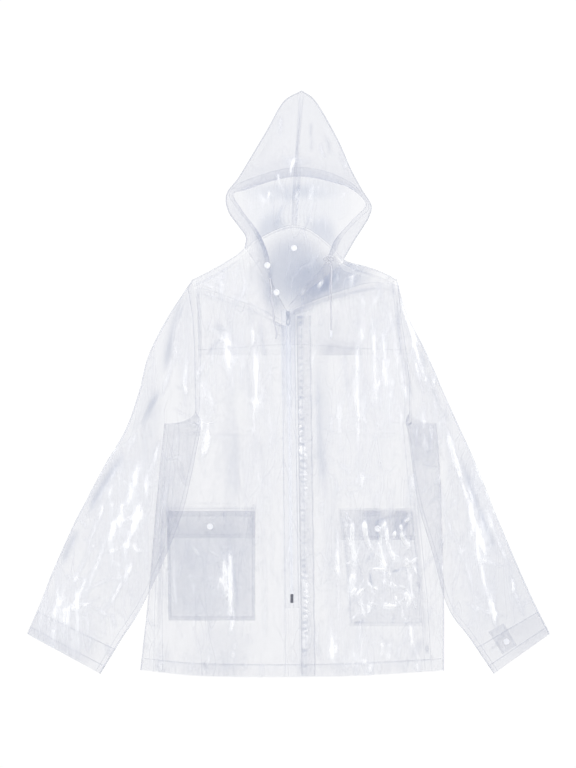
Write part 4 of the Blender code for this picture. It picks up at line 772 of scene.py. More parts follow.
class Look:
    """A material on the standard shader, with shorthands for its node tree."""

    def __init__(self, name):
        self.material = bpy.data.materials.new(name)
        self.material.use_nodes = True
        self.tree = self.material.node_tree
        self.shader = self.tree.nodes["Principled BSDF"]

    def put(self, socket, value):
        """Gives a socket a constant or another node's output."""
        if isinstance(value, bpy.types.NodeSocket):
            self.tree.links.new(value, socket)
        else:
            socket.default_value = value

    def feed(self, node, **inputs):
        for key, value in inputs.items():
            self.put(node.inputs[key.replace("_", " ")], value)

    def node(self, kind, output, settings=None, **inputs):
        """One output of a new node."""
        made = self.tree.nodes.new("ShaderNode" + kind)
        for key, value in (settings or {}).items():
            setattr(made, key, value)
        self.feed(made, **inputs)
        return made.outputs[output]

    def maths(self, operation, *values, clamp=False):
        made = self.tree.nodes.new("ShaderNodeMath")
        made.operation, made.use_clamp = operation, clamp
        for socket, value in zip(made.inputs, values):
            self.put(socket, value)
        return made.outputs[0]

    def ramp(self, value, low, high, to_low, to_high):
        return self.node("MapRange", "Result", Value=value, From_Min=low, From_Max=high,
                         To_Min=to_low, To_Max=to_high)

    def blend(self, factor, a, b):
        """A mix of two colours, each a triple or a node's output."""
        a, b = ((*colour, 1) if isinstance(colour, tuple) else colour for colour in (a, b))
        return self.node("Mix", "Result", {"data_type": "RGBA"}, Factor=factor, A=a, B=b)

    def attribute(self, name):
        return self.node("Attribute", "Fac", {"attribute_name": name})

    def noise(self, scale, detail=3.0, stretch=(1, 1, 1), lean=0.0):
        """A noise texture on object coordinates, leaned about Z and stretched along the axes."""
        place = self.node("Mapping", "Vector", Vector=self.node("TexCoord", "Object"),
                          Scale=stretch, Rotation=(0, 0, math.radians(lean)))
        return self.node("TexNoise", "Fac", Vector=place, Scale=scale, Detail=detail,
                         Roughness=0.55)

    def bump(self, height, strength, distance):
        self.feed(self.shader, Normal=self.node("Bump", "Normal", Height=height,
                                                Strength=strength, Distance=distance))

    def lines(self, clouds, scale, stretch, lean, width):
        """Thin wandering lines where a stretched noise passes its middle, in some clouds."""
        noise = self.noise(scale, 1.0, stretch, lean)
        off = self.maths("ABSOLUTE", self.maths("SUBTRACT", noise, 0.5))
        return self.maths("MULTIPLY", self.ramp(off, 0.0, width, 1.0, 0.0),
                          self.ramp(clouds, 0.44, 0.56, 0.0, 1.0))

    def slope(self):
        """How far the surface leans from level: 0 where it lies flat, 1 where it stands."""
        up = self.node("SeparateXYZ", "Z", Vector=self.node("NewGeometry", "Normal"))
        flatness = self.maths("POWER", self.maths("ABSOLUTE", up), 0.84)
        return self.maths("SUBTRACT", 1.0, flatness)


# Colours of the film: clear, cloudy, deeper where the film is milkier, in darker spots or under
# painted shade, and white where creases whiten and where painted highlights, glints and sheen lie
TINT = (0.28, 0.30, 0.40)
CLOUDY = (0.36, 0.38, 0.475)
DEEP = (0.19, 0.24, 0.38)
WHITENING_AND_SHEEN = (0.97, 0.975, 0.985)


def film_material(name, alpha, edge, lean=0.0, roughness=0.17, gloss=0.2, lined=0.4, gleam=0.6):
    """Clear film: see-through where it faces you and milkier at grazing edges, deeper where it is
    milkier or carries painted shade, with painted glints on tilted facets, painted glare lines, and
    crease whitening with painted sheen from the white attribute.
    """
    look = Look(name)
    maths, ramp = look.maths, look.ramp
    clouds = look.noise(9.0, 3.0, (1, 0.45, 1), lean)
    streaks = look.noise(88.0, 2.0, (1.0, 0.13, 1), lean)
    lines = look.lines(clouds, 24.0, (1.0, 0.2, 1), lean, 0.011)
    across = look.lines(clouds, 20.0, (1.0, 0.25, 1), lean + 48.0, 0.010)
    turned_away = look.node("LayerWeight", "Facing", Blend=0.42)
    haze_and_shade = look.attribute("haze_and_shade")
    # Crease whitening and painted sheen from the white attribute, broken into streaks
    whitening_and_painted_sheen = maths("MULTIPLY", look.attribute("white"), ramp(streaks, 0.42, 0.58, 0.4, 1.25))
    tilt = look.slope()
    # Painted glint: facets that tilt a little from level are whitened as if they caught the lamps
    glint = maths("MULTIPLY", ramp(tilt, 0.03, 0.22, 0, gleam), ramp(tilt, 0.35, 0.75, 1.0, 0.0))
    # Painted glare lines: thin wandering white lines from the noise, with no crease under them
    painted_glare_lines = maths("MULTIPLY", maths("MAXIMUM", lines, across), lined)
    clear = maths("ADD", maths("MULTIPLY", haze_and_shade, 17.0), 1.0, clamp=True)
    white = maths("ADD", maths("ADD", whitening_and_painted_sheen, glint), painted_glare_lines)
    white = maths("MULTIPLY", white, clear, clamp=True)
    body = look.blend(ramp(clouds, 0.35, 0.65, 0, 1), TINT, CLOUDY)
    body = look.blend(ramp(haze_and_shade, 0.0, 0.12, 0, 1), body, DEEP)
    body = look.blend(white, body, WHITENING_AND_SHEEN)
    see = maths("ADD", maths("MULTIPLY", turned_away, edge),
                ramp(clouds, 0.3, 0.7, alpha * 0.82, alpha * 1.2))
    see = maths("ADD", maths("MULTIPLY", see, clear), maths("MAXIMUM", haze_and_shade, 0.0))
    see = maths("ADD", see, maths("MULTIPLY", white, 0.26), clamp=True)
    look.feed(look.shader, Base_Color=body, Alpha=see, IOR=1.6, Specular_IOR_Level=gloss,
              Roughness=ramp(clouds, 0.3, 0.7, roughness * 0.8, roughness * 1.5))
    look.bump(streaks, 0.16, 0.0009)
    return look.material


def solid_material(name, colour, other, roughness, scale, strength, metallic=0.0, alpha=None,
                   stretch=(1, 1, 1)):
    """Two near tones and a fine grain."""
    look = Look(name)
    grain = look.noise(scale, 4.0, stretch)
    look.feed(look.shader, Metallic=metallic,
              Base_Color=look.blend(look.ramp(grain, 0.35, 0.65, 0, 1), colour, other),
              Roughness=look.ramp(grain, 0.3, 0.7, roughness * 0.85, roughness * 1.2))
    if alpha is not None:
        look.feed(look.shader, Alpha=look.ramp(grain, 0.3, 0.7, alpha * 0.9, alpha * 1.1))
    look.bump(grain, strength, 0.0004)
    return look.material


def woven_material(name, colour, other, pitch, alpha):
    """Fine plain weave: two crossed sets of threads."""
    look = Look(name)
    place = look.node("TexCoord", "Object")
    weave = look.maths("MAXIMUM", *(
        look.node("TexWave", "Fac", {"bands_direction": axis}, Vector=place, Scale=0.314 / pitch,
                  Distortion=0.6, Detail=1.0) for axis in ("X", "Y")))
    see = look.maths("ADD", look.ramp(weave, 0, 1, alpha * 0.85, alpha * 1.15),
                     look.attribute("haze_and_shade"))
    look.feed(look.shader, Base_Color=look.blend(weave, colour, other), Alpha=see,
              Roughness=look.ramp(weave, 0, 1, 0.7, 0.5))
    look.bump(weave, 0.5, 0.0002)
    return look.material


CLEAR = film_material("clear_film", 0.060, 0.26)
SLEEVE_FILM = {RIGHT: film_material("sleeve_right_look", 0.050, 0.26, lean=30.0),
               LEFT: film_material("sleeve_left_look", 0.058, 0.26, lean=-24.0)}
HOOD_FILM = film_material("hood_film", 0.066, 0.28, roughness=0.26, gloss=0.10, lined=0.12,
                          gleam=0.25)
POCKET_FILM = film_material("pocket_film", 0.060, 0.26, gloss=0.4, gleam=0.9)
TAPE = woven_material("zip_tape_weave", (0.38, 0.42, 0.56), (0.66, 0.69, 0.77), 0.0009, 0.04)
THREAD = solid_material("thread", (0.66, 0.68, 0.74), (0.50, 0.52, 0.60), 0.45, 900, 0.4,
                        alpha=0.5)
TOOTH = solid_material("zip_tooth", (0.86, 0.88, 0.93), (0.74, 0.77, 0.85), 0.3, 700, 0.2,
                       alpha=0.3)
WHITE = solid_material("white_plastic", (0.84, 0.84, 0.86), (0.72, 0.73, 0.77), 0.28, 160, 0.12)
METAL = solid_material("dark_metal", (0.34, 0.35, 0.40), (0.20, 0.20, 0.24), 0.26, 420, 0.2,
                       metallic=0.85)
SILVER = solid_material("slider_metal", (0.66, 0.69, 0.78), (0.50, 0.53, 0.62), 0.24, 420, 0.2,
                        metallic=0.45)
CORD = solid_material("cord_fibre", (0.70, 0.70, 0.73), (0.54, 0.55, 0.61), 0.6, 1500, 0.7,
                      stretch=(1, 0.5, 1))


# Camera, light and floor, in metres

PICTURE_HEIGHT = 1.3824     # what the photograph shows from top to bottom
FILM_LEVEL = 0.01           # height at which the picture has that scale
CAMERA = (-0.0009, -0.0009, 4.6)
SENSOR = 36.0
FLOOR_HALF = 4.0
FLOOR_LEVEL = -0.0004

scene = bpy.context.scene
camera = new_object("camera", bpy.data.cameras.new("camera"))
camera.location = CAMERA
camera.data.sensor_width = SENSOR
camera.data.lens = SENSOR * (CAMERA[2] - FILM_LEVEL) / PICTURE_HEIGHT
camera.data.clip_end = 50.0
scene.camera = camera

for name, place, size, power in (("key", (-2.1, 0.7, 2.1), (0.34, 1.6), 36),
                                 ("rim", (2.2, 0.5, 1.9), (0.34, 1.6), 32),
                                 ("top", (0.1, 2.5, 2.0), (1.6, 0.3), 26),
                                 ("low", (-0.3, -2.6, 2.3), (1.6, 0.3), 19)):
    light = bpy.data.lights.new(name, "AREA")
    light.shape = "RECTANGLE"
    light.size, light.size_y = size
    light.energy = power
    light.use_shadow = False        # so many clear layers would shade each other grey
    lamp = new_object(name, light)
    lamp.location = place
    lamp.rotation_euler = (-Vector(place)).to_track_quat("-Z", "Y").to_euler()

world = bpy.data.worlds.new("studio")
scene.world = world
world.use_nodes = True
background = world.node_tree.nodes["Background"]
background.inputs["Color"].default_value = (0.93, 0.95, 1.0, 1)
background.inputs["Strength"].default_value = 0.52

floor_mesh = bpy.data.meshes.new("floor")
floor_mesh.from_pydata([(x * FLOOR_HALF, y * FLOOR_HALF, FLOOR_LEVEL)
                        for x, y in ((-1, -1), (1, -1), (1, 1), (-1, 1))], [], [(0, 1, 2, 3)])
floor = new_object("floor", floor_mesh)
floor_look = Look("pale_floor")
floor_look.feed(floor_look.shader, Base_Color=(0.10, 0.10, 0.10, 1), Roughness=0.9,
                Specular_IOR_Level=0.0, Emission_Color=(1, 1, 1, 1), Emission_Strength=0.905)
floor_mesh.materials.append(floor_look.material)

scene.view_settings.view_transform = "Standard"
scene.view_settings.look = "None"
for name, bounces in (("transparent_max", 64), ("max", 3), ("diffuse", 1), ("glossy", 1),
                      ("transmission", 0)):
    setattr(scene.cycles, name + "_bounces", bounces)


# Widths that set how many columns the films have
BACK_WIDTH = 490.0
CAPE_WIDTH = 370.0
FRONT_WIDTH = 235.0
YOKE_WIDTH = 200.0
SLEEVE_WIDTH = 175.0
PATCH_WIDTH = 150.0
STATION_LENGTH = 72.0       # between two stations of a sleeve


# Back and cape

def top_margin(x, shoulder, neck):
    at_neck = smooth((x - NECK_X[RIGHT]) / 26.0) * smooth((NECK_X[LEFT] - x) / 26.0)
    return mix(shoulder, neck, at_neck)


def back_points(s, u, low=LEVEL_TOP, shoulder=LOFT / 2 + 6.0):
    """Plan points of the back: level rows up to low, then bent up to the top outline."""
    y = np.broadcast_to(np.minimum(s, low), np.broadcast(s, u).shape)
    f = np.clip((s - low) / BENT_ROWS, 0, 1)
    for _ in range(6):
        x = mix(back_side(RIGHT, y) + GAP / 2, back_side(LEFT, y) - GAP / 2, u)
        top = TOP.at("y", x) - top_margin(x, shoulder, GAP)
        y = np.where(s > low, mix(low, top, f), y)
    return x, hem_y(x, y)


def body_rows():
    """Rows of the back and the fronts, close together round the underarms."""
    return np.concatenate([spaced(HEM_Y, ARM_BOTTOM, FINE),
                           spaced(ARM_BOTTOM + 1.5, ARM_ARC_TOP, 2.5),
                           spaced(ARM_ARC_TOP + 3, LEVEL_TOP + BENT_ROWS, FINE)])[:, None]


def build_back():
    s = body_rows()
    x, y = back_points(s, spaced(0, 1, FINE / BACK_WIDTH)[None])
    middle = stack(x, y, back_height(x, y))
    low = s[:, 0] <= ARM_BOTTOM
    sides = {}
    for side, steps in ((RIGHT, 5), (LEFT, 14)):
        rows = np.broadcast_to(s, (len(s), steps))
        seam = side_seam(side, rows) + side * GAP / 2
        x = mix(seam, fold_tangent(side, rows), np.linspace(0, 1, steps)[None])
        y = hem_y(x, rows)
        front = stack(x, y, front_height(x, y))
        end = middle[:, 0 if side == RIGHT else -1]
        turn = half_turn(front[:, -1], end[:, 2], np.array([side, 0.0, 0.0])[None])
        sides[side] = np.concatenate([front, turn], 1)
        sides[side][~low] = np.nan
    whole = np.concatenate([sides[RIGHT], middle, sides[LEFT][:, ::-1]], 1)
    neck_x = spaced(NECK_X[RIGHT] + 4, NECK_X[LEFT] - 4, 2.5)[None]
    neck_y = TOP.at("y", neck_x)
    allowance = stack(neck_x, neck_y + np.linspace(-4.0, 2.2, 4)[:, None],
                      back_height(neck_x, neck_y - 4.0) + 0.5)
    parts = [shell(whole), band(whole[s[:, 0] <= HEM_Y + HEM_WIDTH], BAND, FILM),
             shell(allowance, thickness=BAND_FILM)]
    piece = add_film("back", parts, CLEAR, "back_panel")
    sew("body", raised(middle, -THREAD_RISE)[row_at(s, HEM_Y + HEM_WIDTH - 2)])
    for side in (RIGHT, LEFT):
        sew("body", sides[side][low][:, 1] + (0, 0, 0.35))
    paint(piece, "back", "lower", LOWER, -0.010)


def build_cape():
    s = spaced(CAPE_HEM_Y, CAPE_HEM_Y + BENT_ROWS, 2.2)[:, None]
    x, y = back_points(s, spaced(0, 1, 3.4 / CAPE_WIDTH)[None], low=CAPE_HEM_Y,
                       shoulder=LOFT / 2 + 15.0)
    points = stack(x, y, FLOOR + 0.12 * np.maximum(creases(LOWER, x, y), 0))
    hem = points[s[:, 0] < CAPE_HEM_Y + 9] + (0, 0, BAND)
    parts = [shell(points, thickness=0.5), shell(hem, thickness=BAND_FILM) + (THIN,)]
    piece = add_film("cape", parts, CLEAR, "back_cape")
    sew("body", points[3] + (0, 0, THREAD_RISE), pitch=3.6)
    paint(piece, "cape", "lower", LOWER, -0.045)


# Fronts and yokes

def front_x(side, y, u):
    outer = boundary(side, y, side_seam) - side * GAP / 2
    return mix(outer, zip_x(y) + side * GAP / 2, u)


def front_points(side, s, u):
    high = YOKE_SEAM.at("y", front_x(side, YOKE_LEVEL, u)) - GAP
    y = np.where(s <= LEVEL_TOP, s, mix(LEVEL_TOP, high, (s - LEVEL_TOP) / BENT_ROWS))
    x = front_x(side, y, u)
    y = hem_y(x, y)
    return stack(x, y, front_height(x, y))


def build_front(side):
    s = body_rows()
    points = front_points(side, s, spaced(0, 1, 3.1 / FRONT_WIDTH)[None])
    hem_top = row_at(s, HEM_Y + HEM_WIDTH)
    last = points.shape[1] - 1
    parts = [shell(points)]
    # The hem, the facing at the zip and the allowances of the side and yoke seams
    for edge in (points[:hem_top + 1], points[:, last - 5:], points[:, :4], points[-5:]):
        parts.append(band(edge, side * BAND, FILM))
    name = "front_" + WORDS[side]
    piece = add_film(name, parts, CLEAR)
    over = raised(points, -side * THREAD_RISE)
    for line in (over[hem_top - 1], over[2:, 3], over[2:, last - 4], over[-3, 2:-2]):
        sew("body", line)
    paint(piece, name, "upper", UPPER + DARK_SEAMS, -0.008)


def shoulder_outward(x):
    """Direction in plan across the shoulder's outline, held steady over the neck."""
    left, right = NECK_X[RIGHT] - 12.0, NECK_X[LEFT] + 12.0
    x = np.where((x > left) & (x < right), np.where(x < 0, left, right), x)
    step = TOP.at("y", x + 6.0) - TOP.at("y", x - 6.0)
    return unit(np.stack([-step, np.full_like(step, 12.0)], -1))


def build_yoke(side):
    u = spaced(0, 1, 2.8 / YOKE_WIDTH)
    tip_x = armhole(side, SHOULDER_Y) - side * GAP / 2
    zip_end = np.array([zip_x(ZIP_TOP_Y) + side * GAP / 2,
                        ZIP_TOP_Y if side == RIGHT else YOKE_LEFT_END_Y])
    outline_x = mix(tip_x, NECK_X[side], u)
    outline = np.stack([outline_x, TOP.at("y", outline_x)], -1)
    outward = shoulder_outward(outline_x)
    tangent = outline - outward * LOFT / 2
    seam_y = YOKE_SEAM.at("y", front_x(side, YOKE_LEVEL, u)) + GAP
    seam = np.stack([front_x(side, seam_y, u), seam_y], -1)
    f = spaced(0, 1, 0.032)[None, :, None]
    straight = mix(seam[:, None], tangent[:, None], f)
    bent = np.where(f < 0.25, mix(seam[:, None], zip_end, f / 0.25),
                    mix(zip_end, tangent[:, None], (f - 0.25) / 0.75))
    plan = mix(straight, bent, np.clip((u - 0.9) / 0.1, 0, 1)[:, None, None])
    x, y = plan[..., 0], plan[..., 1]
    held = smooth((1 - f[..., 0]) * 8)
    top = stack(x, y, mix(FLOOR + LOFT, front_height(x, y), held))
    turn = half_turn(top[:, -1], np.full(len(u), FLOOR), level(outward))
    reach = mix(9.5, 3.0, smooth((u - 0.6) / 0.4))[:, None] * np.linspace(0, 1, 4)[None]
    under = stack(tangent[:, None, 0] - outward[:, None, 0] * reach,
                  tangent[:, None, 1] - outward[:, None, 1] * reach, FLOOR)
    points = np.concatenate([top, turn, under], 1)
    piece = add_film("yoke_" + WORDS[side],
                     [shell(points), band(points[:, :4], -side * BAND, FILM)], CLEAR)
    over = raised(points, side * THREAD_RISE)
    sew("body", over[2:-2, 2])
    sew("body", over[3, 3:-12])
    paint(piece, "yoke", "upper", UPPER, -0.03)


# Sleeves

def sleeve_plan(side, station, w):
    """Plan points of a sleeve.  w is 0 at its outer edge and 1 at its inner edge."""
    table = SLEEVE[side]
    x, y = (mix(table.at("outer_" + axis, station), table.at("inner_" + axis, station), w)
            for axis in "xy")
    first_y = mix(SHOULDER_Y, ARM_BOTTOM, w)
    straight = mix(table.rows[0][1], table.rows[0][3], w)
    bend = armhole(side, first_y) + side * GAP / 2 - straight
    above = smooth((first_y - ARM_ARC_TOP) / 20.0 + 1.0)
    x = x + bend * above * np.maximum(0.0, 1 - station / 2) ** 2
    beside = armhole(side, y) + side * (GAP / 2 + 3.0 * np.minimum(station, 1.0))
    kept = side * np.maximum(side * x, mix(side * x, side * beside, above))
    return np.where(y > ARM_BOTTOM, kept, x), y


def sleeve_front(side, station, w):
    """Upper layer of a sleeve, pressed flat where it lies under the body."""
    x, y = sleeve_plan(side, station, w)
    covered = side * (body_edge(side, y) + side * 34.0 - x) / 28.0
    flat = smooth(covered) * tuck(y)
    folds = 0.0
    for across, half_width, height in SLEEVE_FOLD[side]:
        folds = folds + height * smooth(1 - abs(w - across) / half_width)
    along = smooth(station / 1.5) * smooth((CUFF_STATION - station) / 1.5)
    held = smooth(station / 0.5)
    z = mix(LOFT + folds * along + upper_bend(x, y) * held, FLAT_SLEEVE, flat)
    return stack(x, y, FLOOR + z)


def build_sleeve(side):
    station = np.concatenate([spaced(0, CUFF_STATION - 0.3, FINE / STATION_LENGTH),
                              spaced(CUFF_STATION - 0.26, CUFF_STATION, 0.035)])[:, None]
    outer, near_outer, near_inner, inner = (
        np.stack(sleeve_plan(side, station, np.full((1, 1), w)), -1)[:, 0]
        for w in (0.0, 0.1, 0.9, 1.0))
    width = np.linalg.norm(inner - outer, axis=1, keepdims=True)
    radius = [(sleeve_front(side, station, np.full((1, 1), w))[:, 0, 2] - FLOOR)[:, None] / 2
              for w in (0.0, 1.0)]
    w = spaced(0, 1, FINE / SLEEVE_WIDTH)[None]
    share = radius[0] / width + w * (1 - (radius[0] + radius[1]) / width)
    front = sleeve_front(side, station, share)
    low = np.full(len(station), FLOOR)
    inner_turn = half_turn(front[:, -1], low, level(unit(inner - near_inner)))
    outer_turn = half_turn(front[:, 0], low, level(unit(outer - near_outer)))
    back = front[:, ::-1].copy()
    ends = smooth(np.minimum(w, 1 - w) / 0.06)
    back[..., 2] = FLOOR + np.maximum(creases(LOWER, back[..., 0], back[..., 1]), -0.1) * ends * 0.8
    ring = np.concatenate([front, inner_turn, back, outer_turn[:, ::-1]], 1)
    hem = row_at(station, CUFF_STATION - 0.22)
    facing = row_at(station, CUFF_STATION - 0.72)
    parts = [shell(ring, closed=True),
             band(ring[facing:], -side * BAND, milk=CUFF_THIN, closed=True),
             band(ring[hem:], -2 * side * BAND, milk=CUFF_THIN, closed=True),
             band(ring[:5], -side * BAND, closed=True)]
    name = "sleeve_" + WORDS[side]
    piece = add_film(name, parts, SLEEVE_FILM[side])
    over = raised(ring, side * THREAD_RISE, closed=True)
    loop = np.concatenate([over, over[:, :1]], 1)
    for line in (loop[hem], loop[facing], loop[4], over[6:, front.shape[1] + 9]):
        sew("sleeves", line)
    paint(piece, name, "upper", UPPER)


# Hood

BACK_COLUMNS = 62
SEAM_BAND = 0.4         # step from the hood to the allowance of its centre seam


def hood_outward(side, station):
    """Direction in plan across the hood's folded edge."""
    table = HOOD[side]
    low, high = np.maximum(station - 0.3, 0.0), np.minimum(station + 0.3, HOOD_TOP)
    run = table.plan("fold", high) - table.plan("fold", low)
    out = unit(np.stack([side * run[..., 1], -side * run[..., 0]], -1))
    first = shoulder_outward(np.full_like(station, NECK_X[side]))
    out = mix(first, out, smooth(station / 0.5)[..., None])
    return unit(mix(out, np.array([0.0, 1.0]), smooth((station - 9.4) / 0.6)[..., None]))


def hood_top(side, station, v, creased=True):
    """Upper layer of the hood.  station (R,), v (C,)."""
    table = HOOD[side]
    edge, fold = table.plan("edge", station)[:, None], table.plan("fold", station)[:, None]
    inset = fold - hood_outward(side, station)[:, None] * LOFT / 2
    v = np.atleast_2d(v)
    plan = mix(edge, inset, v[..., None])
    s = station[:, None]
    throat = CROWN * (1 - smooth(s / 4.0)) * (1 - v) ** 2
    brim = BRIM_LIFT * smooth((s - 4.5) / 3.5) * (1 - v ** 1.6)
    x, y = plan[..., 0], plan[..., 1]
    z = FLOOR + LOFT + throat + brim
    if creased:
        z = z + upper_bend(x, y) * smooth((1 - v) * 6) * smooth(s * 2)
    return stack(x, y, z)


def build_hood(side):
    station = spaced(0, HOOD_TOP, 0.062)
    column = station[:, None]
    top = hood_top(side, station, spaced(0, 1, 0.042))
    top[-1, :, 0] += side * GAP / 2
    turn = half_turn(top[:, -1], np.full(len(station), FLOOR), level(hood_outward(side, station)))
    start = top[:, -1, :2]
    back_y = HOOD[side].at("back_y", station)
    end = np.stack([BACK_SEAM.at("x", back_y) + side * GAP / 2, back_y], -1)
    length = np.linalg.norm(end - start, axis=1)[:, None]
    gathered = np.minimum(PLEATS * PLEAT_WIDTH, length * 0.6)
    share = np.linspace(0, 1, BACK_COLUMNS)[None]
    into = np.clip((share - 1 + gathered / length) / (gathered / length), 0, 1)
    near_neck = (1 - column / HOOD_TOP) ** 2
    height = PLEAT_HEIGHT * smooth(column / 0.7) * smooth((7.0 - column) / 3.0)
    neck_start = hood_top(side, np.zeros(1), np.ones(1))[0, 0]
    neck_end_x = BACK_SEAM.at("x", BACK_NECK_Y) + side * GAP / 2
    seam_x = mix(neck_start[0], neck_end_x, share)
    straight = mix(neck_start[1], BACK_NECK_Y, share)
    arch = (TOP.at("y", seam_x) + 3 * GAP - straight) * smooth(share * 6)
    x = mix(start[:, None, 0], end[:, None, 0], share)
    y = mix(start[:, None, 1], end[:, None, 1], share) + arch * near_neck
    wobble = 0.05 * np.sin(column * 2.1 + side) * into * (1 - into) * 4
    wave = 0.5 - 0.5 * np.cos(2 * math.pi * PLEATS * (into + wobble))
    ends = smooth(share * 10) * smooth((1 - share) * 10)
    z = FLOOR + height * wave ** 1.5 + np.maximum(creases(LOWER, x, y), -0.1) * ends * 0.7
    points = np.concatenate([top, turn, stack(x, y, z)[:, 1:]], 1)
    columns = top.shape[1]
    reach = np.linalg.norm(top[:, -1] - top[:, 0], axis=1)[:, None]
    casing = hood_top(side, station, np.clip(CASING * np.linspace(0, 1, 7)[None] / reach, 0, 0.9))
    casing[-1, :, 0] += side * GAP / 2
    parts = [shell(points), band(casing, side * BAND), band(points[:, -4:], side * SEAM_BAND),
             band(points[-5:, :columns], side * BAND)]
    piece = add_film("hood_" + WORDS[side], parts, HOOD_FILM)
    over, over_casing = (raised(grid, -side * THREAD_RISE) for grid in (points, casing))
    for line in (over_casing[4:-1, -1], over_casing[4:-1, 1], over[-3, 1:columns - 1],
                 over[2, 3:columns - 2]):
        sew("hood", line)
    paint(piece, "hood", "lower", LOWER + DARK_SEAMS, -0.002)


# Pieces on the fronts

POCKET_DEPTH = {RIGHT: 1.2, LEFT: 1.6}      # strength of the pockets' creases
PATCH_STEP = 2.0
ON_FRONT = LAYER + PATCH_EXTRA              # a patch's middle above the film that carries it


def patch(side, table, layer, bulge, step):
    """A pocket or its flap on the front, bulged and creased away from its sewn edges."""
    low, high = table.rows[0][0], table.rows[-1][0]
    y = spaced(low, high, step)[:, None]
    u = spaced(0, 1, step / PATCH_WIDTH)[None]
    x = mix(table.at("left", y), table.at("right", y), u)
    v = (y - low) / (high - low)
    y = np.broadcast_to(y, x.shape)
    edge = smooth(np.minimum(np.minimum(u, 1 - u) * PATCH_WIDTH / 12,
                             np.minimum(v + 0.06, 1.06 - v) * 14))
    z = plain_front(x, y) + 0.8 + layer * ON_FRONT
    z = z + bulge * np.sin(math.pi * u) * np.sin(math.pi * np.minimum(1, 0.15 + v))
    z = z + 0.25 * creases(UPPER, x, y) * (1 - edge)
    bend = (POCKET_DEPTH[side] * creases(POCKET_CREASES[side], x, y)
            + 1.4 * crumple("pocket_" + WORDS[side], x, y))
    return stack(x, y, z + np.maximum(bend, -1.0) * (0.25 + 0.75 * edge))


def build_pocket(side):
    look = "pocket_" + WORDS[side]
    # The left pocket's creases get twice the crease whitening and painted highlight, and twice the
    # painted shade in their troughs, and it is less milky
    rows = POCKET_CREASES[side] * (1 if side == RIGHT else 2)
    for name, table, layer, bulge, flat, under, milk in (
            ("pocket_", POCKET, 1, POCKET_BULGE, (0.165, 0.225), "front_", 0.04),
            ("pocket_flap_", POCKET_FLAP, 2, POCKET_BULGE + 1.0, (0.17, 0.064), "pocket_", -0.02)):
        points = patch(side, table[side], layer, bulge, PATCH_STEP)
        parts = [shell(points)] + [band(edge, -BAND) for edge in (
            points[-6:], points[:, :4], points[:, -4:], points[:5])]
        piece = add_film(name + WORDS[side], parts, POCKET_FILM)
        over = raised(points, THREAD_RISE)
        lines = [over[3:-1, 2], over[3:-1, -3], over[3, 2:-2], over[-3, 2:-2]]
        for line in lines if layer == 2 else lines[:3]:
            sew("pockets", line, **FINE_STITCH)
        paint(piece, look, look, rows, milk if side == RIGHT else -0.016)


def strip(offsets, y, above):
    """Points beside the zip's line, at a height above the plain front."""
    x = zip_x(y) + offsets
    y = hem_y(x, np.broadcast_to(y, x.shape))
    return stack(x, y, plain_front(x, y) + above)


def build_wind_flap():
    inner, outer = 15.0, 41.0       # edges of the flap, from the zip's line
    y = spaced(HEM_Y + 3.0, ZIP_TOP_Y - 4.0, 1.6)[:, None]
    offsets = spaced(inner, outer, 1.5)[None]
    points = strip(offsets, y, ON_FRONT)
    rng = np.random.default_rng(41)
    pucker = np.zeros(points.shape[:2])
    place = HEM_Y + 6.0
    while place < ZIP_TOP_Y - 8:
        tilt, size, reach = rng.uniform(-0.5, 0.5), rng.uniform(0.5, 1.7), rng.uniform(6, 11)
        middle = rng.uniform(19.5, 24.5)
        run = (y - place - tilt * (offsets - middle)) / rng.uniform(1.6, 3.0)
        pucker += size * np.exp(-run ** 2) * np.exp(-((offsets - middle) / reach) ** 2)
        place += rng.uniform(5.0, 12.0)
    pucker *= smooth((offsets - inner) / 3.0) * smooth((outer - offsets) / 6.0)
    points[..., 2] += pucker
    points[..., 0] += 0.5 * np.sin(y / 9.0) * smooth((offsets - 33) / 6)
    parts = [shell(points), band(points[:, :3], BAND), band(points[:, -3:], -BAND)]
    piece = add_film("wind_flap", parts, POCKET_FILM)
    over = raised(points, 0.35)
    for column in (1, 6, -2):
        sew("pockets", over[:, column], **FINE_STITCH)
    paint(piece, "wind_flap", base=-0.02)
    # Painted highlight on the pucker crests and painted shade in the hollows between them
    crest = np.clip(pucker / 0.8, 0, 1)
    hollow = 0.15 * (1 - crest) ** 3 * np.exp(-((offsets - 22.0) / 5.5) ** 2)
    for name, grid in (("white", crest), ("haze_and_shade", hollow - 0.01)):
        values = np.zeros(len(piece.data.vertices))
        values[:grid.size] = values[grid.size:2 * grid.size] = grid.ravel()
        piece.data.attributes[name].data.foreach_set("value", values)


TOOTH_PITCH = 2.5
# Shank and head of a tooth: from, to, half width, height
TOOTH_PARTS = ((-0.9, 1.0, 0.85, 1.7), (0.9, 3.1, 0.55, 1.4))
BOX_FACES = ((3, 2, 1, 0), (4, 5, 6, 7), (0, 1, 5, 4), (1, 2, 6, 5), (2, 3, 7, 6), (3, 0, 4, 7))


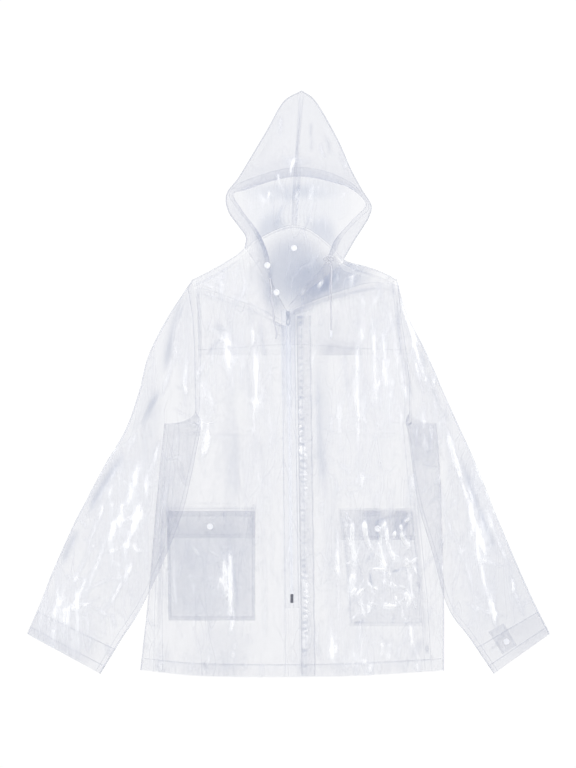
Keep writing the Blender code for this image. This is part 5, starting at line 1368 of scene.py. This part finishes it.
def build_zip():
    y = spaced(ZIP_END_Y - 26.0, ZIP_TOP_Y + 8.0, 3.0)[:, None]
    tapes = []
    for side in (RIGHT, LEFT):
        offsets = (side * np.linspace(0.5, TAPE_HALF, 9))[None]
        tapes.append(shell(strip(offsets, y, ON_FRONT), thickness=0.5))
        rib = strip((side * np.linspace(2.6, 4.2, 4))[None], y, ON_FRONT + 0.45)
        rib[..., 2] += np.array([0, 0.35, 0.35, 0])[None]
        tapes.append(shell(rib, thickness=BAND_FILM))
        edge = np.array([[side * (TAPE_HALF - 2.2)]])
        sew("body", strip(edge, y, ON_FRONT + THREAD_RISE)[:, 0])
    piece = add_mesh("zip_tape_weave", tapes, TAPE, nodes=["zip_tape"])
    paint(piece, "zip_tape")

    top_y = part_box("zip_slider")[0][1] / MM - GAP
    teeth = []
    for k in range(2 * int((top_y - ZIP_END_Y) / TOOTH_PITCH)):
        side = RIGHT if k % 2 else LEFT
        at = ZIP_END_Y + (k + 0.5) * TOOTH_PITCH / 2
        line = strip(np.array([[0.0]]), np.array([[at]]), ON_FRONT + 0.3)[0, 0]
        faces = [face[::side] for face in BOX_FACES]
        for start, stop, half, tall in TOOTH_PARTS:
            a, b = side * start, side * stop
            foot = [(a, -half, 0), (b, -half, 0), (b, half, 0), (a, half, 0)]
            head = [(a * 0.8, -half * 0.6, tall), (b * 0.9, -half * 0.6, tall),
                    (b * 0.9, half * 0.6, tall), (a * 0.8, half * 0.6, tall)]
            teeth.append((line + np.array(foot + head), faces))
    add_mesh("zip_teeth", teeth, TOOTH, nodes=["zip_chain"], angle=30)


def build_cuff_tab():
    station = spaced(*TAB_STATION, 0.03)[:, None]
    across = spaced(*TAB_ACROSS, 0.012)[None]
    points = sleeve_front(LEFT, station, across) + (0, 0, LAYER + 0.5)
    parts = [shell(points)] + [shell(edge - (0, 0, BAND), thickness=BAND_FILM) + (THIN,)
                               for edge in (points[:, :4], points[:, -4:])]
    piece = add_film("cuff_tab", parts, POCKET_FILM, "cuff_tab_left")
    for line in (points[1:-1, 2], points[1:-1, -3], points[2, 1:-1], points[-3, 1:-1]):
        sew("sleeves", line + (0, 0, THREAD_RISE), pitch=2.8, length=2.0)
    paint(piece, "cuff_tab", base=0.02)


# Small parts

def turned(profile, place, segments=40, tilt=None):
    """A turned piece from (radius, height) pairs, outwards and up."""
    profile = np.array(profile, float)
    angle = 2 * math.pi * np.arange(segments) / segments
    rings = np.stack([np.outer(profile[:, 0], np.cos(angle)),
                      np.outer(profile[:, 0], np.sin(angle)),
                      np.repeat(profile[:, 1:], segments, 1)], -1)
    vertices = rings.reshape(-1, 3)
    if tilt is not None:
        turn = Vector((0, 0, 1)).rotation_difference(Vector(tilt))
        vertices = vertices @ np.array(turn.to_matrix()).T
    return vertices + np.array(place), ring_faces(len(profile), segments)


# Turned profiles: radius, height
SNAP = ((5.2, 0.0), (5.6, 0.25), (5.6, 0.75), (5.3, 1.15), (4.7, 1.45), (4.2, 1.5), (3.8, 1.3),
        (3.3, 1.15), (2.6, 1.25), (1.8, 1.45), (0.9, 1.55), (0.2, 1.58))
RING_SNAP = ((5.2, 0.0), (5.6, 0.3), (5.6, 0.9), (5.2, 1.35), (4.6, 1.6), (3.9, 1.6), (3.4, 1.3),
             (3.0, 0.7), (2.4, 0.5), (0.2, 0.5))
KNOT = ((0.6, -2.4), (2.0, -1.8), (2.7, 0), (2.0, 1.8), (0.6, 2.4))
BEAD = ((1.3, -7.4), (1.8, -7.0), (2.3, -5.2), (2.6, -2.0), (2.6, 2.0), (2.2, 5.4), (1.7, 7.0),
        (1.2, 7.4))
SNAPS = {"snap_pocket_right": SNAP, "snap_pocket_left": RING_SNAP, "snap_neck": SNAP,
         "snap_cuff_left": SNAP, "snap_throat_upper": SNAP, "snap_throat_lower": RING_SNAP}


def box_of(node):
    """Low and high corners of a node of the solids, in millimetres."""
    return (np.array(corner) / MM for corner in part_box(node))


def build_snaps():
    for name, profile in SNAPS.items():
        low, high = box_of(name)
        place = ((low[0] + high[0]) / 2, (low[1] + high[1]) / 2, low[2])
        add_mesh(name + "_stud", [turned(profile, place)], WHITE,
                 nodes=[name], angle=40)


CORD_CLEAR = 0.35       # between a cord and what it lies on
# Loops of the bow: x and y of the middle, turn
BOW_LOOPS = ((-4.5, 2.0, 0.5), (4.0, 2.4, -0.6), (-1.5, -1.6, 1.6))


def hood_or_front(x, y, side):
    """Height of the highest uncreased film under a point near the throat."""
    stations, v = np.linspace(0, 4, 41), np.array([0.0, 0.1, 0.2, 0.3])
    points = hood_top(side, stations, v, creased=False).reshape(-1, 3)
    far = (points[:, 0] - x) ** 2 + (points[:, 1] - y) ** 2
    best = int(np.argmin(far))
    hood = points[best, 2] + 0.5 if far[best] < 144 else 0.0
    return max(hood, float(plain_front(np.array(x), np.array(y)))) + WALL / 2


def cord_points(side):
    """A cord's middle line, from its exit in the hood's casing to its tip."""
    exit_at = hood_top(side, *(np.array([value]) for value in CORD_EXIT[side]), creased=False)
    above = WALL / 2 + 0.5 + CORD_RADIUS + CORD_CLEAR + 0.3
    own = [exit_at[0, 0] + (0, 0, above)]
    for x, y, rise in CORD_ROUTE[side]:
        own.append(np.array([x, y, hood_or_front(x, y, side) + CORD_RADIUS + CORD_CLEAR + rise]))
    points = []
    for i in range(len(own) - 1):
        before, after = own[max(i - 1, 0)], own[min(i + 2, len(own) - 1)]
        a, b = own[i], own[i + 1]
        points += [hermite(a, b, (b - before) / 2, (after - a) / 2, f)
                   for f in (0.0, 0.25, 0.5, 0.75)]
    return np.array(points + [own[-1]])


def tube(path, radius, segments=10, braid=0.0):
    """A mesh tube along a path in millimetres, with rounded ends and a braided surface."""
    path = np.asarray(path, float)
    at = distances(path)
    places = spaced(0, at[-1], 0.9)
    line = along_line(path, at, places)
    along = unit(np.gradient(line, axis=0))
    side = np.cross(along, [0, 0, 1.0])
    weak = np.linalg.norm(side, axis=1) < 0.05
    side[weak] = np.cross(along[weak], [1.0, 0, 0])
    side = unit(side)
    up = np.cross(side, along)
    angle = 2 * math.pi * np.arange(segments) / segments
    size = radius * np.sqrt(np.clip(np.minimum(places, at[-1] - places) / radius, 0.08, 1))
    lead, turns = places[:, None] * 1.9, 3 * angle[None]
    size = size[:, None] * (1 + braid * np.cos(turns + lead) * np.cos(turns - lead))
    vertices = (line[:, None] + side[:, None] * (np.cos(angle)[None] * size)[..., None]
                + up[:, None] * (np.sin(angle)[None] * size)[..., None]).reshape(-1, 3)
    return vertices, ring_faces(len(places), segments, outwards=False)


def build_bow(top):
    """The bow and knot at a cord's exit."""
    around = np.linspace(0, 2 * math.pi, 26)
    long, short = 5.5 * np.cos(around), 2.6 * np.sin(around)
    parts = []
    for x, y, turn in BOW_LOOPS:
        loop = np.stack([x + long * math.cos(turn) - short * math.sin(turn),
                         y + long * math.sin(turn) + short * math.cos(turn),
                         0.9 * np.sin(around + turn)], -1)
        parts.append(tube(top + (0, 1.5, 1.2) + loop, 1.0, 8, 0.09))
    parts.append(turned(KNOT, top + (0, 1.0, 1.8), 16))
    return add_mesh("cord_bow", parts, CORD, angle=60)


def build_cords():
    for side in (RIGHT, LEFT):
        word = WORDS[side]
        path = cord_points(side)
        length = distances(path)[-1]
        piece = add_mesh("cord_" + word, [tube(path, CORD_RADIUS, braid=0.09)], CORD,
                         nodes=["drawstring_" + word], angle=60)
        if side == LEFT:
            build_bow(path[0])
            low, high = box_of("drawstring_bead_left")
            bead = turned(BEAD, (low + high) / 2, 24, tilt=path[-1] - path[-2])
            add_mesh("cord_bead", [bead], WHITE,
                                   nodes=["drawstring_bead_left"])


def finish_hardware():
    """The slider, its pull and the box keep the solids' shapes, with softened edges."""
    for name, look, width in (("zip_slider", SILVER, 0.0005), ("zip_pull", SILVER, 0.00035),
                              ("zip_box", METAL, 0.0005)):
        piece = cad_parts[name]
        for material_slot in piece.material_slots:
            material_slot.material = look
        bevel = piece.modifiers.new("edges", "BEVEL")
        bevel.width, bevel.segments, bevel.limit_method = width, 3, "ANGLE"


build_cape()
build_back()
for each in (RIGHT, LEFT):
    for build in (build_front, build_yoke, build_sleeve, build_hood, build_pocket):
        build(each)
build_wind_flap()
build_zip()
build_cuff_tab()
build_snaps()
build_cords()
finish_hardware()
for group, made in THREADS.items():
    add_mesh("stitches_" + group, made, THREAD, angle=80)
